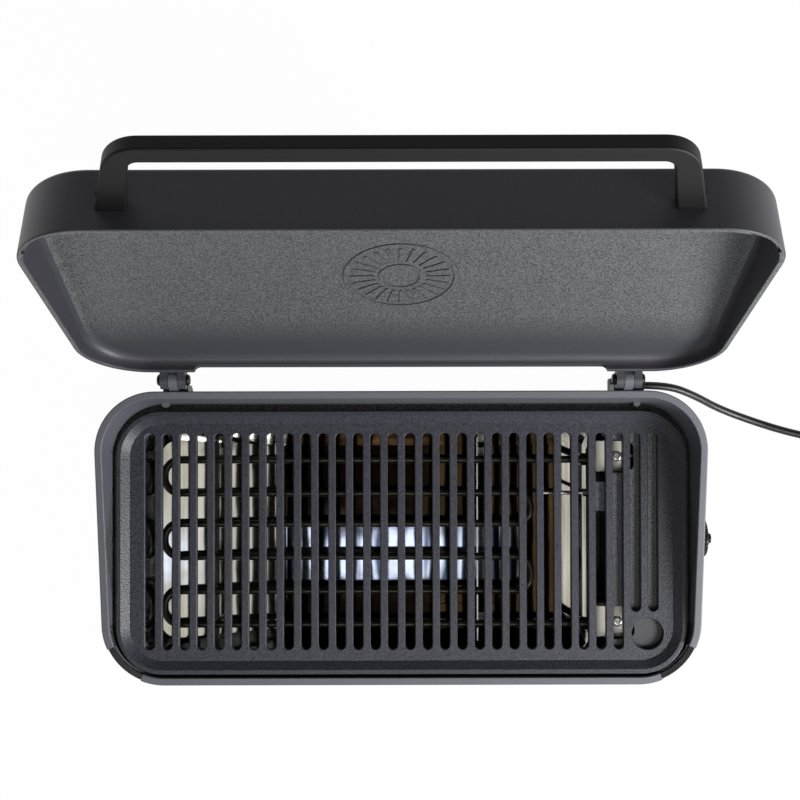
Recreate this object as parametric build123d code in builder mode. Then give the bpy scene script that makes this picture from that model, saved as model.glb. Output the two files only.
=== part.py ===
"""Electric table grill with a hinged cast lid, modelled as its separate pieces.

Millimetres, +Z up, +Y to the back. The origin is on the table, under the middle
of the body. The lid pieces are drawn closed and then swung open to rest.
"""
from build123d import *
import math
import os

os.makedirs("parts", exist_ok=True)

# Driving dimensions of the body casting
BODY_WIDTH = 520.0
BODY_DEPTH = 256.0
CORNER_RADIUS = 53.0
RIM_WALL = 6.0
RIM_BACK_HEIGHT = 138.0
RIM_SLOPE = 10.0
SHELL_BOTTOM = 10.0
LOWER_EDGE_RADIUS = 5.0
RIM_EDGE_RADIUS = 1.0
WELL_SIDE_DRAFT = 1.2
WELL_BACK_DRAFT = 4.6
LEDGE_THICKNESS = 4.0
RIB_THICKNESS = 4.0
SEAT_GAP = 0.1
LIFT_GAP = 0.3
SIDE_GAP = 0.4

# Grill plate
PLATE_SIDE_GAP = 4.5
PLATE_FRONT_GAP = 3.4
PLATE_BACK_GAP = 10.6
PLATE_CORNER = 40.0
PLATE_LIP_HEIGHT = 93.0
PLATE_RIM_RISE = 6.0
PLATE_FLOOR = 6.0
PLATE_LIP_WIDTH = 4.0
PLATE_SLOPE_WIDTH = 7.0
SLOT_COUNT = 30
SHORT_SLOTS = 2
SLOT_WIDTH = 8.6
SLOT_SIDE_MARGIN = 28.4
SLOT_FRONT_MARGIN = 20.6
SLOT_BACK_MARGIN = 19.4
SHORT_SLOT_CUT = 33.0
SLOT_CHAMFER = 0.7
PLATE_EDGE = 1.0
FINGER_HOLE_RADIUS = 13.8
FINGER_HOLE_SIDE = 33.5
FINGER_HOLE_FRONT = 33.9
NUB_INSET = 54.0
NUB_RADIUS = 3.0

# Heater chamber and reflector tray
CONTROL_SPACE = 72.0
CHAMBER_LEFT_MARGIN = 30.0
CHAMBER_RIGHT_MARGIN = 4.5
CHAMBER_FRONT_MARGIN = 25.0
CHAMBER_BACK_MARGIN = 32.0
CHAMBER_CORNER = 20.0
TRAY_FLANGE = 7.0
TRAY_SHEET = 0.8
TRAY_CLEARANCE = 1.0
TRAY_RIGHT_MARGIN = 20.0
TRAY_FLOOR_HEIGHT = 39.0
TRAY_LEFT_LEAN = 22.0
TRAY_RIGHT_LEAN = 2.0
TRAY_SIDE_LEAN = 14.0
LEFT_RAMP_REACH = 117.0
LEFT_RAMP_SLOPE = 10.5
RIGHT_RAMP_REACH = 46.0
RIGHT_RAMP_SLOPE = 45.0
SUMP_LEFT_MARGIN = 124.0
SUMP_RIGHT_MARGIN = 97.0
SUMP_FRONT_MARGIN = 37.0
SUMP_BACK_MARGIN = 48.0
SUMP_DEPTH = 3.0

# Tubular heating element and what carries it
TUBE_DIAMETER = 6.5
PASS_COUNT = 6
PASS_FRONT_MARGIN = 21.65
PASS_BACK_MARGIN = 29.85
PASS_SHIFTS = (1.6, 1.4, 3.5, 3.5, 2.4, 2.2)
ELEMENT_HEIGHT = 63.0
BEND_LEFT_MARGIN = 18.0
BEND_RIGHT_MARGIN = 72.0
SUPPORT_LEFT_MARGIN = 64.5
SUPPORT_RIGHT_MARGIN = 120.0
SUPPORT_SHEET = 1.2
SUPPORT_TOP_MARGIN = 3.0
SUPPORT_HOLE_DROP = 8.5
SUPPORT_HOLE_RADIUS = 3.0
SUPPORT_FOOT = 9.6
BLOCK_WIDTH = 23.2
BLOCK_LENGTH = 27.5
BLOCK_HEIGHT = 18.0
BLOCK_OVERHANG = 14.7
BLOCK_SHIFT = 3.1
BLOCK_SCREW_INSET = 18.9
BLOCK_RECESS_RADIUS = 4.9
BLOCK_RECESS_DEPTH = 1.4
SHELF_THICKNESS = 5.0
NOTCH_CLEARANCE = 0.9
NOTCH_LENGTH = 32.4
NOTCH_END_WIDTH = 24.0
PROBE_HOOD_REACH = 16.0
PROBE_HOOD_WIDTH = 25.7
PROBE_HOOD_HEIGHT = 6.0
TERMINAL_DEPTH = 12.0
SCREW_M4 = 4.0
PROBE_DIAMETER = 3.6
PROBE_REACH = 70.0
PROBE_SHIFT = -0.25
PROBE_COLLAR_RADIUS = 4.6
PROBE_COLLAR_LENGTH = 4.0
PROBE_TAIL = 8.0

# Thermostat and control knob
KNOB_Y = -2.7
KNOB_HEIGHT = 62.0
KNOB_DIAMETER = 34.0
KNOB_DEPTH = 14.3
KNOB_GAP = 1.0
KNOB_GRIP_WIDTH = 9.0
SHAFT_DIAMETER = 6.0
SHAFT_CLEARANCE = 0.08
BUSH_DIAMETER = 10.0
THERMOSTAT_DEPTH = 24.0
THERMOSTAT_SIZE = 28.0
BUSH_NUT_SIZE = 14.0
BUSH_NUT_THICKNESS = 2.5
KNOB_FACE = 3.0
KNOB_POINTER_RISE = 3.0
KNOB_FLUTES = 24
TAB_SHEET = 0.8
TAB_WIDTH = 6.3

# Lid, hinges and handle, drawn closed
LID_GAP = 1.0
LID_WALL = 4.5
LID_ROOF = 4.0
LID_BACK_HEIGHT = 16.2
LID_FRONT_HEIGHT = 51.5
LID_EDGE_RADIUS = 3.5
LID_INNER_RADIUS = 8.0
LID_OPEN_ANGLE = 118.5
HINGE_BEHIND_BODY = 9.5
HINGE_BELOW_RIM = 0.6
HINGE_INSET = 69.0
KNUCKLE_RADIUS = 7.75
BODY_EAR_WIDTH = 7.4
LID_EAR_WIDTH = 6.5
EAR_GAP = 0.4
PIN_DIAMETER = 5.0
PIN_CLEARANCE = 0.05
PIN_HEAD_RADIUS = 4.9
PIN_HEAD_HEIGHT = 3.0
PIN_HEAD_DOME = 2.4
HEEL_REACH = 11.4
HEEL_HALF_WIDTH = 3.7
STOP_DEPTH = 5.5
STOP_BELOW_AXIS = 8.9
STOP_BOTTOM = 100.0
VENT_HEIGHT = 5.0
VENT_END_GAP = 19.0
MEDALLION_RADIUS = 43.0
MEDALLION_Y = -2.0
MEDALLION_RISE = 0.8
MEDALLION_HUB = 14.0
MEDALLION_RAYS = 24
MEDALLION_RAY_LENGTH = 18.0
BUMPER_SPAN = 44.0
BUMPER_NOTCH = 6.0
BUMPER_THICKNESS = 3.0
LID_NOTCH = 3.0
EAR_ROOT_RISE = 4.2
EAR_ROOT_HEIGHT = 8.5
HANDLE_FOOT_MARGIN = 8.5
HANDLE_FOOT_WIDTH = 20.0
HANDLE_REACH = 60.0
HANDLE_BAR_DEPTH = 13.0
HANDLE_LEAN = 16.0
HANDLE_INNER_LEAN = 12.0
HANDLE_OUTER_RADIUS = 26.0
HANDLE_INNER_RADIUS = 8.0
HANDLE_HEIGHT = 12.0
HANDLE_ABOVE_RIM = 15.6
HANDLE_EDGE = 1.5
HANDLE_SCREW_DEPTH = 12.0
HANDLE_SCREW_OFFSET = 5.6
SCREW_M5 = 4.8

# Bottom cover, feet and mains lead
COVER_SHEET = 1.2
BOSS_RADIUS = 6.0
BOSS_INSET = 5.5
BOSS_SIDE_INSET = 68.0
BOSS_END_INSET = 160.0
COVER_SCREW_LENGTH = 12.0
FOOT_RADIUS = 12.0
FOOT_STEM_RADIUS = 3.5
VENT_PITCH = 9.0
VENT_ROW_PITCH = 60.0
VENT_LENGTH = 40.0
VENT_WIDTH = 4.0
VENT_FIELD_INSET = 170.0
FOOT_SIDE_INSET = 52.0
FOOT_END_INSET = 46.0
GLAND_INSET = 62.5
GLAND_HEIGHT = 40.0
GLAND_BLOCK_WIDTH = 14.0
GLAND_BLOCK_DEPTH = 13.0
GLAND_BLOCK_HEIGHT = 20.0
GLAND_NOZZLE = 18.0
GLAND_TIP_RADIUS = 4.6
SPIGOT_RADIUS = 5.0
WIRE_DIAMETER = 2.6
LEAD_DIAMETER = 7.0
LEAD_OFF_WALL = 6.5
LEAD_BENDS = ((10.0, -2.0, 31.0), (37.0, -14.5, 14.0), (70.0, -26.0, 4.2), (105.0, -37.0, 3.7))
LEAD_RUN_IN = 34.0
COIL_INNER_RADIUS = 28.0
COIL_PITCH = 7.6
LAYER_TURNS = 2.75
CLIMB_TURNS = 0.5
COIL_OFF_BODY = 180.0
COIL_FORWARD = 95.0
COIL_LIFT = 1.3
LAYER_RISE = 7.5
TIE_SHEET = 1.0
TIE_WIDTH = 10.0
TIE_SLACK = 0.8
COIL_TAIL = 42.0
PLUG_WIDTH = 27.0
PLUG_LENGTH = 38.0

# Levels and places worked out from the driving dimensions
HALF_WIDTH = BODY_WIDTH / 2
HALF_DEPTH = BODY_DEPTH / 2
SLOPE = math.radians(RIM_SLOPE)
RIM_FRONT_HEIGHT = RIM_BACK_HEIGHT - BODY_DEPTH * math.tan(SLOPE)
FLOOR_TOP = PLATE_LIP_HEIGHT - PLATE_RIM_RISE
PLATE_UNDERSIDE = FLOOR_TOP - PLATE_FLOOR
LEDGE_TOP = PLATE_UNDERSIDE - LIFT_GAP
LEDGE_UNDERSIDE = LEDGE_TOP - LEDGE_THICKNESS
INNER_HALF_WIDTH = HALF_WIDTH - RIM_WALL
INNER_HALF_DEPTH = HALF_DEPTH - RIM_WALL
INNER_RADIUS = CORNER_RADIUS - RIM_WALL
AXIS_Y = HALF_DEPTH + HINGE_BEHIND_BODY
AXIS_Z = RIM_BACK_HEIGHT - HINGE_BELOW_RIM
ABOVE_ALL = RIM_BACK_HEIGHT + LID_FRONT_HEIGHT
PLATE_WIDTH = 2 * (INNER_HALF_WIDTH - PLATE_SIDE_GAP)
PLATE_DEPTH = 2 * INNER_HALF_DEPTH - PLATE_FRONT_GAP - PLATE_BACK_GAP
PLATE_CENTRE_Y = (PLATE_FRONT_GAP - PLATE_BACK_GAP) / 2
PLATE_FRONT = PLATE_CENTRE_Y - PLATE_DEPTH / 2
SLOT_PITCH = (PLATE_WIDTH - 2 * SLOT_SIDE_MARGIN) / (SLOT_COUNT - 1)
SLOT_LENGTH = PLATE_DEPTH - SLOT_FRONT_MARGIN - SLOT_BACK_MARGIN
FINGER_HOLE_X = PLATE_WIDTH / 2 - FINGER_HOLE_SIDE
FINGER_HOLE_Y = PLATE_FRONT + FINGER_HOLE_FRONT
NUB_X = HALF_WIDTH - NUB_INSET
PARTITION_X = HALF_WIDTH - CONTROL_SPACE
CHAMBER_LEFT = CHAMBER_LEFT_MARGIN - HALF_WIDTH
CHAMBER_RIGHT = PARTITION_X - CHAMBER_RIGHT_MARGIN
CHAMBER_FRONT = CHAMBER_FRONT_MARGIN - HALF_DEPTH
CHAMBER_BACK = HALF_DEPTH - CHAMBER_BACK_MARGIN
TRAY_RIGHT_TOP = PARTITION_X - TRAY_RIGHT_MARGIN
SUMP_LEFT = CHAMBER_LEFT + SUMP_LEFT_MARGIN
SUMP_RIGHT = PARTITION_X - SUMP_RIGHT_MARGIN
SUMP_FRONT = CHAMBER_FRONT + SUMP_FRONT_MARGIN
SUMP_BACK = CHAMBER_BACK - SUMP_BACK_MARGIN
FRONT_PASS = CHAMBER_FRONT + PASS_FRONT_MARGIN
PASS_PITCH = (CHAMBER_BACK - PASS_BACK_MARGIN - FRONT_PASS) / (PASS_COUNT - 1)
PASS_Y = [FRONT_PASS + PASS_PITCH * (PASS_COUNT - 1 - k) + PASS_SHIFTS[k] for k in range(PASS_COUNT)]
BEND_LEFT = CHAMBER_LEFT + BEND_LEFT_MARGIN
BEND_RIGHT = PARTITION_X - BEND_RIGHT_MARGIN
SUPPORT_X = (CHAMBER_LEFT + SUPPORT_LEFT_MARGIN, PARTITION_X - SUPPORT_RIGHT_MARGIN)
BLOCK_LEFT = PARTITION_X - BLOCK_OVERHANG
BLOCK_SCREW_X = BLOCK_LEFT + BLOCK_SCREW_INSET
NOTCH_RIGHT = BLOCK_LEFT + NOTCH_LENGTH
PROBE_LEFT = PARTITION_X - PROBE_REACH
PROBE_Y = PASS_Y[1] + PROBE_SHIFT
HINGE_X = HALF_WIDTH - HINGE_INSET
VENT_HALF_WIDTH = HINGE_X - VENT_END_GAP
HANDLE_FOOT_HALF = HALF_WIDTH - CORNER_RADIUS - HANDLE_FOOT_MARGIN
BOSS_SIDE_Y = HALF_DEPTH - BOSS_SIDE_INSET
BOSS_END_X = HALF_WIDTH - BOSS_END_INSET
VENT_FIELD_X = HALF_WIDTH - VENT_FIELD_INSET
FOOT_X = HALF_WIDTH - FOOT_SIDE_INSET
FOOT_Y = HALF_DEPTH - FOOT_END_INSET
GLAND_X = HALF_WIDTH - GLAND_INSET
COIL_CENTRE = (HALF_WIDTH + COIL_OFF_BODY, HALF_DEPTH - COIL_FORWARD)
BLOCK_Y = (PASS_Y[0] + BLOCK_SHIFT, PASS_Y[-1] + BLOCK_SHIFT)
SHELF_TOP = ELEMENT_HEIGHT - BLOCK_HEIGHT / 2 - SEAT_GAP
TRAY_TOP = LEDGE_TOP - SEAT_GAP
REBATE_DEPTH = TRAY_SHEET + 2 * SEAT_GAP

rim_plane = Plane(
    origin=(0, HALF_DEPTH, RIM_BACK_HEIGHT),
    x_dir=(1, 0, 0),
    z_dir=(0, -math.sin(SLOPE), math.cos(SLOPE)),
)
lid_rim_plane = rim_plane.offset(LID_GAP)
LID_DROP = (RIM_BACK_HEIGHT + LID_BACK_HEIGHT) - (RIM_FRONT_HEIGHT + LID_GAP + LID_FRONT_HEIGHT)
ROOF_SLOPE = math.atan2(LID_DROP, BODY_DEPTH)
roof_plane = Plane(
    origin=(0, HALF_DEPTH, RIM_BACK_HEIGHT + LID_BACK_HEIGHT),
    x_dir=(1, 0, 0),
    z_dir=(0, -math.sin(ROOF_SLOPE), math.cos(ROOF_SLOPE)),
)
hinge_axis = Axis((0, AXIS_Y, AXIS_Z), (1, 0, 0))


def write(part, name):
    """Label one finished piece and write it to its own file."""
    part.label = name
    export_step(part, f"parts/{name}.step")


def write_open(part, name):
    """Write a lid piece at rest, which is with the lid swung open."""
    write(part.rotate(hinge_axis, -LID_OPEN_ANGLE), name)


def side_plane(x):
    """A plane whose own x runs along +Y and whose own y runs along +Z."""
    return Plane(origin=(x, 0, 0), x_dir=(0, 1, 0), z_dir=(1, 0, 0))


def screw(head_radius, head_height, shank_radius, shank_length):
    """A cross-slotted pan-head screw, head up, with the seat of its head at z = 0."""
    with BuildPart() as piece:
        with BuildSketch(Plane.XY):
            Circle(head_radius)
        extrude(amount=head_height)
        fillet(piece.edges().sort_by(Axis.Z)[-1], 0.7 * head_height)
        with BuildSketch(Plane.XY):
            Circle(shank_radius)
        extrude(amount=-shank_length)
        with BuildSketch(Plane.XY.offset(head_height)):
            Rectangle(1.2 * head_radius, 0.25 * head_radius)
            Rectangle(0.25 * head_radius, 1.2 * head_radius)
        extrude(amount=-0.5 * head_height, mode=Mode.SUBTRACT)
    return piece.part


def corner_sector(side, inner_radius, outer_radius, span):
    """An upright wedge of the wall round a front corner; side is -1 or 1."""
    centre = (side * (HALF_WIDTH - CORNER_RADIUS), -(HALF_DEPTH - CORNER_RADIUS))
    start = -90 + side * 45 - span / 2
    with BuildPart() as wedge:
        with BuildSketch():
            with BuildLine():
                inner = CenterArc(centre, inner_radius, start, span)
                outer = CenterArc(centre, outer_radius, start, span)
                Line(inner @ 0, outer @ 0)
                Line(inner @ 1, outer @ 1)
            make_face()
        extrude(amount=ABOVE_ALL)
    return wedge.part


# Wedges of the rim that hold the corner bumpers, with their floors along the rim
notch_tools = []
bumpers = []
for side in (-1, 1):
    notch = corner_sector(side, INNER_RADIUS - 3, CORNER_RADIUS + 3, BUMPER_SPAN)
    notch_tools.append(notch.split(rim_plane.offset(-BUMPER_NOTCH), keep=Keep.TOP))
    strip_gap = math.degrees(SIDE_GAP / CORNER_RADIUS)
    strip = corner_sector(side, INNER_RADIUS + 0.5, CORNER_RADIUS - 0.4, BUMPER_SPAN - 2 * strip_gap)
    strip = strip.split(rim_plane.offset(SEAT_GAP - BUMPER_NOTCH), keep=Keep.TOP)
    bumpers.append(strip.split(rim_plane.offset(BUMPER_THICKNESS - BUMPER_NOTCH), keep=Keep.BOTTOM))

# Body casting: outer walls, sloping rim, plate well, ledge, partition and hinge posts
with BuildPart() as body_shell:
    with BuildSketch(Plane.XY.offset(SHELL_BOTTOM)):
        RectangleRounded(BODY_WIDTH, BODY_DEPTH, CORNER_RADIUS)
    extrude(amount=ABOVE_ALL - SHELL_BOTTOM)
    fillet(body_shell.faces().sort_by(Axis.Z)[0].edges(), LOWER_EDGE_RADIUS)
    split(bisect_by=rim_plane, keep=Keep.BOTTOM)

    # The well that the plate drops into, a little narrower at the ledge
    well_depth = 2 * INNER_HALF_DEPTH - WELL_BACK_DRAFT - WELL_SIDE_DRAFT
    with BuildSketch(Plane.XY.offset(LEDGE_TOP)):
        with Locations((0, (WELL_SIDE_DRAFT - WELL_BACK_DRAFT) / 2)):
            RectangleRounded(2 * (INNER_HALF_WIDTH - WELL_SIDE_DRAFT), well_depth, INNER_RADIUS - 1)
    with BuildSketch(Plane.XY.offset(RIM_BACK_HEIGHT + 1)):
        RectangleRounded(2 * INNER_HALF_WIDTH, 2 * INNER_HALF_DEPTH, INNER_RADIUS)
    loft(mode=Mode.SUBTRACT)
    rim_face = body_shell.faces().filter_by(rim_plane).sort_by(Axis.Z)[-1]
    fillet(rim_face.edges(), RIM_EDGE_RADIUS)

    # The hollow underside, which leaves the ledge and the deck as a thin shelf
    with BuildSketch(Plane.XY.offset(SHELL_BOTTOM)):
        RectangleRounded(2 * INNER_HALF_WIDTH, 2 * INNER_HALF_DEPTH, INNER_RADIUS)
    extrude(amount=LEDGE_UNDERSIDE - SHELL_BOTTOM, mode=Mode.SUBTRACT)

    # The chamber's opening and the step that the tray's flange lies in
    chamber_centre = ((CHAMBER_LEFT + CHAMBER_RIGHT) / 2, (CHAMBER_FRONT + CHAMBER_BACK) / 2)
    chamber_size = (CHAMBER_RIGHT - CHAMBER_LEFT, CHAMBER_BACK - CHAMBER_FRONT)
    with BuildSketch(Plane.XY.offset(LEDGE_UNDERSIDE)):
        with Locations(chamber_centre):
            RectangleRounded(*chamber_size, CHAMBER_CORNER)
    extrude(amount=LEDGE_THICKNESS, mode=Mode.SUBTRACT)
    rebate_right = TRAY_RIGHT_TOP + SIDE_GAP
    rebate_left = CHAMBER_LEFT - TRAY_FLANGE - SIDE_GAP
    rebate_size = (rebate_right - rebate_left, chamber_size[1] + 2 * (TRAY_FLANGE + SIDE_GAP))
    with BuildSketch(Plane.XY.offset(LEDGE_TOP)):
        with Locations(((rebate_left + rebate_right) / 2, chamber_centre[1])):
            Rectangle(*rebate_size)
    extrude(amount=-REBATE_DEPTH, mode=Mode.SUBTRACT)

    # The partition between the chamber and the control compartment
    rib_bottom = SHELL_BOTTOM + COVER_SHEET + 0.8
    with BuildSketch(Plane.XY.offset(rib_bottom)):
        with Locations((PARTITION_X, 0)):
            Rectangle(RIB_THICKNESS, 2 * INNER_HALF_DEPTH + 1)
    extrude(amount=LEDGE_UNDERSIDE - rib_bottom + 1)

    # Shelves for the two terminal blocks, and the notches that the blocks stand in
    for block_y in BLOCK_Y:
        notch_width = BLOCK_LENGTH + 2 * NOTCH_CLEARANCE
        shelf_right = BLOCK_LEFT + BLOCK_WIDTH + 3
        with BuildSketch(Plane.XY.offset(SHELF_TOP - SHELF_THICKNESS)):
            with Locations(((BLOCK_LEFT + shelf_right) / 2, block_y)):
                Rectangle(shelf_right - BLOCK_LEFT, notch_width)
        extrude(amount=SHELF_THICKNESS)
        with BuildSketch(Plane.XY.offset(SHELF_TOP)):
            with Locations(((BLOCK_LEFT + shelf_right) / 2, block_y)):
                Rectangle(shelf_right - BLOCK_LEFT, notch_width)
            with Locations(((BLOCK_LEFT + NOTCH_RIGHT) / 2, block_y)):
                RectangleRounded(NOTCH_RIGHT - BLOCK_LEFT, NOTCH_END_WIDTH, 4)
        extrude(amount=LEDGE_TOP - SHELF_TOP + 1, mode=Mode.SUBTRACT)
        with Locations((BLOCK_SCREW_X, block_y, SHELF_TOP)):
            Hole((SCREW_M4 / 2) + 0.1, SHELF_THICKNESS)

    # A hood on the partition, over the probe
    with BuildSketch(Plane.XY.offset(LEDGE_TOP - PROBE_HOOD_HEIGHT)):
        with Locations((PARTITION_X, PROBE_Y - 2.4)):
            Rectangle(PROBE_HOOD_REACH, PROBE_HOOD_WIDTH, align=(Align.MAX, Align.CENTER))
    extrude(amount=PROBE_HOOD_HEIGHT)

    # Screw posts for the bottom cover, against the walls
    post_places = [(s * (INNER_HALF_WIDTH - BOSS_INSET), t * BOSS_SIDE_Y) for s in (-1, 1) for t in (-1, 1)]
    post_places += [(s * BOSS_END_X, t * (INNER_HALF_DEPTH - BOSS_INSET)) for s in (-1, 1) for t in (-1, 1)]
    post_bottom = SHELL_BOTTOM + COVER_SHEET + SEAT_GAP
    with BuildSketch(Plane.XY.offset(post_bottom)):
        with Locations(*post_places):
            Circle(BOSS_RADIUS)
    extrude(amount=LEDGE_UNDERSIDE - post_bottom + 1)
    with BuildSketch(Plane.XY.offset(post_bottom)):
        with Locations(*post_places):
            Circle(SCREW_M4 / 2 + 0.1)
    extrude(amount=14, mode=Mode.SUBTRACT)

    # Upright nubs on the back wall that centre the plate
    with BuildSketch(Plane.XY.offset(LEDGE_TOP - 1)):
        with Locations(*[(s * NUB_X, INNER_HALF_DEPTH - WELL_BACK_DRAFT + 0.4) for s in (-1, 1)]):
            Circle(NUB_RADIUS)
    extrude(amount=PLATE_RIM_RISE + PLATE_FLOOR + 4)

    # Hinge posts: a broad stop block under each knuckle, and the body's own ear
    for side in (-1, 1):
        stop_top = AXIS_Z - STOP_BELOW_AXIS
        stop_width = BODY_EAR_WIDTH + 2 * (LID_EAR_WIDTH + EAR_GAP)
        with BuildSketch(side_plane(side * HINGE_X - stop_width / 2)):
            with BuildLine():
                Polyline(
                    (HALF_DEPTH - 2, STOP_BOTTOM),
                    (HALF_DEPTH, STOP_BOTTOM),
                    (HALF_DEPTH + STOP_DEPTH, STOP_BOTTOM + 9),
                    (HALF_DEPTH + STOP_DEPTH, stop_top),
                    (HALF_DEPTH - 2, stop_top),
                    close=True,
                )
            make_face()
        extrude(amount=stop_width)
        with BuildSketch(side_plane(side * HINGE_X - BODY_EAR_WIDTH / 2)):
            with Locations((AXIS_Y, AXIS_Z)):
                Circle(KNUCKLE_RADIUS)
            with Locations((HALF_DEPTH - 1.5, stop_top - 6)):
                Rectangle(2, 14)
            make_hull()
        extrude(amount=BODY_EAR_WIDTH)
        with BuildSketch(side_plane(side * HINGE_X - stop_width / 2)):
            with Locations((AXIS_Y, AXIS_Z)):
                Circle(PIN_DIAMETER / 2 + PIN_CLEARANCE)
        extrude(amount=stop_width, mode=Mode.SUBTRACT)

    # Bumper notches in the rim at the two front corners
    for notch in notch_tools:
        add(notch, mode=Mode.SUBTRACT)

    # Holes for the control's bush, the lead's spigot and the probe
    with BuildSketch(side_plane(INNER_HALF_WIDTH - 1)):
        with Locations((KNOB_Y, KNOB_HEIGHT)):
            Circle(BUSH_DIAMETER / 2 + 0.2)
    extrude(amount=RIM_WALL + 2, mode=Mode.SUBTRACT)
    with BuildSketch(side_plane(PARTITION_X - RIB_THICKNESS)):
        with Locations((PROBE_Y, ELEMENT_HEIGHT)):
            Circle(PROBE_DIAMETER / 2 + 0.2)
    extrude(amount=2 * RIB_THICKNESS, mode=Mode.SUBTRACT)
    with BuildSketch(Plane.XZ.offset(-HALF_DEPTH - 1)):
        with Locations((GLAND_X, GLAND_HEIGHT)):
            Circle(SPIGOT_RADIUS + 0.2)
    extrude(amount=RIM_WALL + 2, mode=Mode.SUBTRACT)
write(body_shell.part, "body_shell")

for strip, word in zip(bumpers, ("left", "right")):
    write(strip, f"corner_bumper_{word}")

# Grill plate: a dished casting with a row of slots and a lifting hole
plate_middle = (0, PLATE_CENTRE_Y)
with BuildPart() as grill_plate:
    with BuildSketch(Plane.XY.offset(PLATE_UNDERSIDE)):
        with Locations(plate_middle):
            RectangleRounded(PLATE_WIDTH, PLATE_DEPTH, PLATE_CORNER)
    extrude(amount=PLATE_FLOOR + PLATE_RIM_RISE)
    fillet(grill_plate.faces().sort_by(Axis.Z)[-1].edges(), PLATE_EDGE)
    dish_foot = 2 * (PLATE_LIP_WIDTH + PLATE_SLOPE_WIDTH)
    with BuildSketch(Plane.XY.offset(FLOOR_TOP)):
        with Locations(plate_middle):
            RectangleRounded(PLATE_WIDTH - dish_foot, PLATE_DEPTH - dish_foot, PLATE_CORNER - dish_foot / 2)
    with BuildSketch(Plane.XY.offset(PLATE_LIP_HEIGHT)):
        with Locations(plate_middle):
            RectangleRounded(
                PLATE_WIDTH - 2 * PLATE_LIP_WIDTH,
                PLATE_DEPTH - 2 * PLATE_LIP_WIDTH,
                PLATE_CORNER - PLATE_LIP_WIDTH,
            )
    loft(mode=Mode.SUBTRACT)
    slot_back = PLATE_FRONT + PLATE_DEPTH - SLOT_BACK_MARGIN
    first_slot = -SLOT_PITCH * (SLOT_COUNT - 1) / 2
    with BuildSketch(Plane.XY.offset(PLATE_UNDERSIDE)):
        for k in range(SLOT_COUNT):
            length = SLOT_LENGTH if k < SLOT_COUNT - SHORT_SLOTS else SLOT_LENGTH - SHORT_SLOT_CUT
            with Locations((first_slot + k * SLOT_PITCH, slot_back - length / 2)):
                SlotOverall(length, SLOT_WIDTH, rotation=90)
        with Locations((FINGER_HOLE_X, FINGER_HOLE_Y)):
            Circle(FINGER_HOLE_RADIUS)
    extrude(amount=PLATE_FLOOR, mode=Mode.SUBTRACT)
    upper_faces = grill_plate.faces().filter_by(Axis.Z).filter_by_position(Axis.Z, FLOOR_TOP - 0.1, FLOOR_TOP + 0.1)
    opening_rims = [wire.edges() for wire in upper_faces.sort_by(SortBy.AREA)[-1].inner_wires()]
    chamfer([edge for rim in opening_rims for edge in rim], SLOT_CHAMFER)
write(grill_plate.part, "grill_plate")

# Reflector tray: a sheet pan with a sump, hung by its flange on the chamber's step
tray_left = CHAMBER_LEFT + TRAY_CLEARANCE
tray_front = CHAMBER_FRONT + TRAY_CLEARANCE
tray_back = CHAMBER_BACK - TRAY_CLEARANCE
left_ramp_start = CHAMBER_LEFT + LEFT_RAMP_REACH
right_ramp_start = PARTITION_X - RIGHT_RAMP_REACH


def ramp_plane(x, start, slope):
    """A plane through the tray's floor line at start, with its origin above or at x."""
    angle = math.radians(slope)
    height = TRAY_FLOOR_HEIGHT + (start - x) * math.tan(angle)
    down = (math.cos(angle), 0, -math.sin(angle))
    return Plane(origin=(x, 0, height), x_dir=down, z_dir=(math.sin(angle), 0, math.cos(angle)))


left_ramp = ramp_plane(left_ramp_start, left_ramp_start, LEFT_RAMP_SLOPE)
right_ramp = ramp_plane(right_ramp_start, right_ramp_start, -RIGHT_RAMP_SLOPE)


def tray_outline(lean, inset):
    """Outline of the pan, drawn in by its walls' lean and by the sheet."""
    left = tray_left + lean * TRAY_LEFT_LEAN + inset
    right = TRAY_RIGHT_TOP - lean * TRAY_RIGHT_LEAN - inset
    front = tray_front + lean * TRAY_SIDE_LEAN + inset
    back = tray_back - lean * TRAY_SIDE_LEAN - inset
    with Locations(((left + right) / 2, (front + back) / 2)):
        RectangleRounded(right - left, back - front, CHAMBER_CORNER - lean * 6 - inset)


def pan_block(inset):
    """The pan as a solid block without its flange, with a ramp at both ends."""
    with BuildPart() as block:
        with BuildSketch(Plane.XY.offset(TRAY_FLOOR_HEIGHT - TRAY_SHEET + inset)):
            tray_outline(1, inset)
        with BuildSketch(Plane.XY.offset(TRAY_TOP)):
            tray_outline(0, inset)
        loft()
        for ramp in (left_ramp, right_ramp):
            split(bisect_by=ramp.offset(inset - TRAY_SHEET), keep=Keep.TOP)
    return block.part


def sump_block(inset, depth):
    """The tray's sunken panel, as a block that reaches just above the floor."""
    with BuildPart() as block:
        with BuildSketch(Plane.XY.offset(TRAY_FLOOR_HEIGHT - depth)):
            with Locations(((SUMP_LEFT + SUMP_RIGHT) / 2, (SUMP_FRONT + SUMP_BACK) / 2)):
                RectangleRounded(SUMP_RIGHT - SUMP_LEFT - 2 * inset, SUMP_BACK - SUMP_FRONT - 2 * inset, 8)
        extrude(amount=depth)
    return block.part


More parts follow.
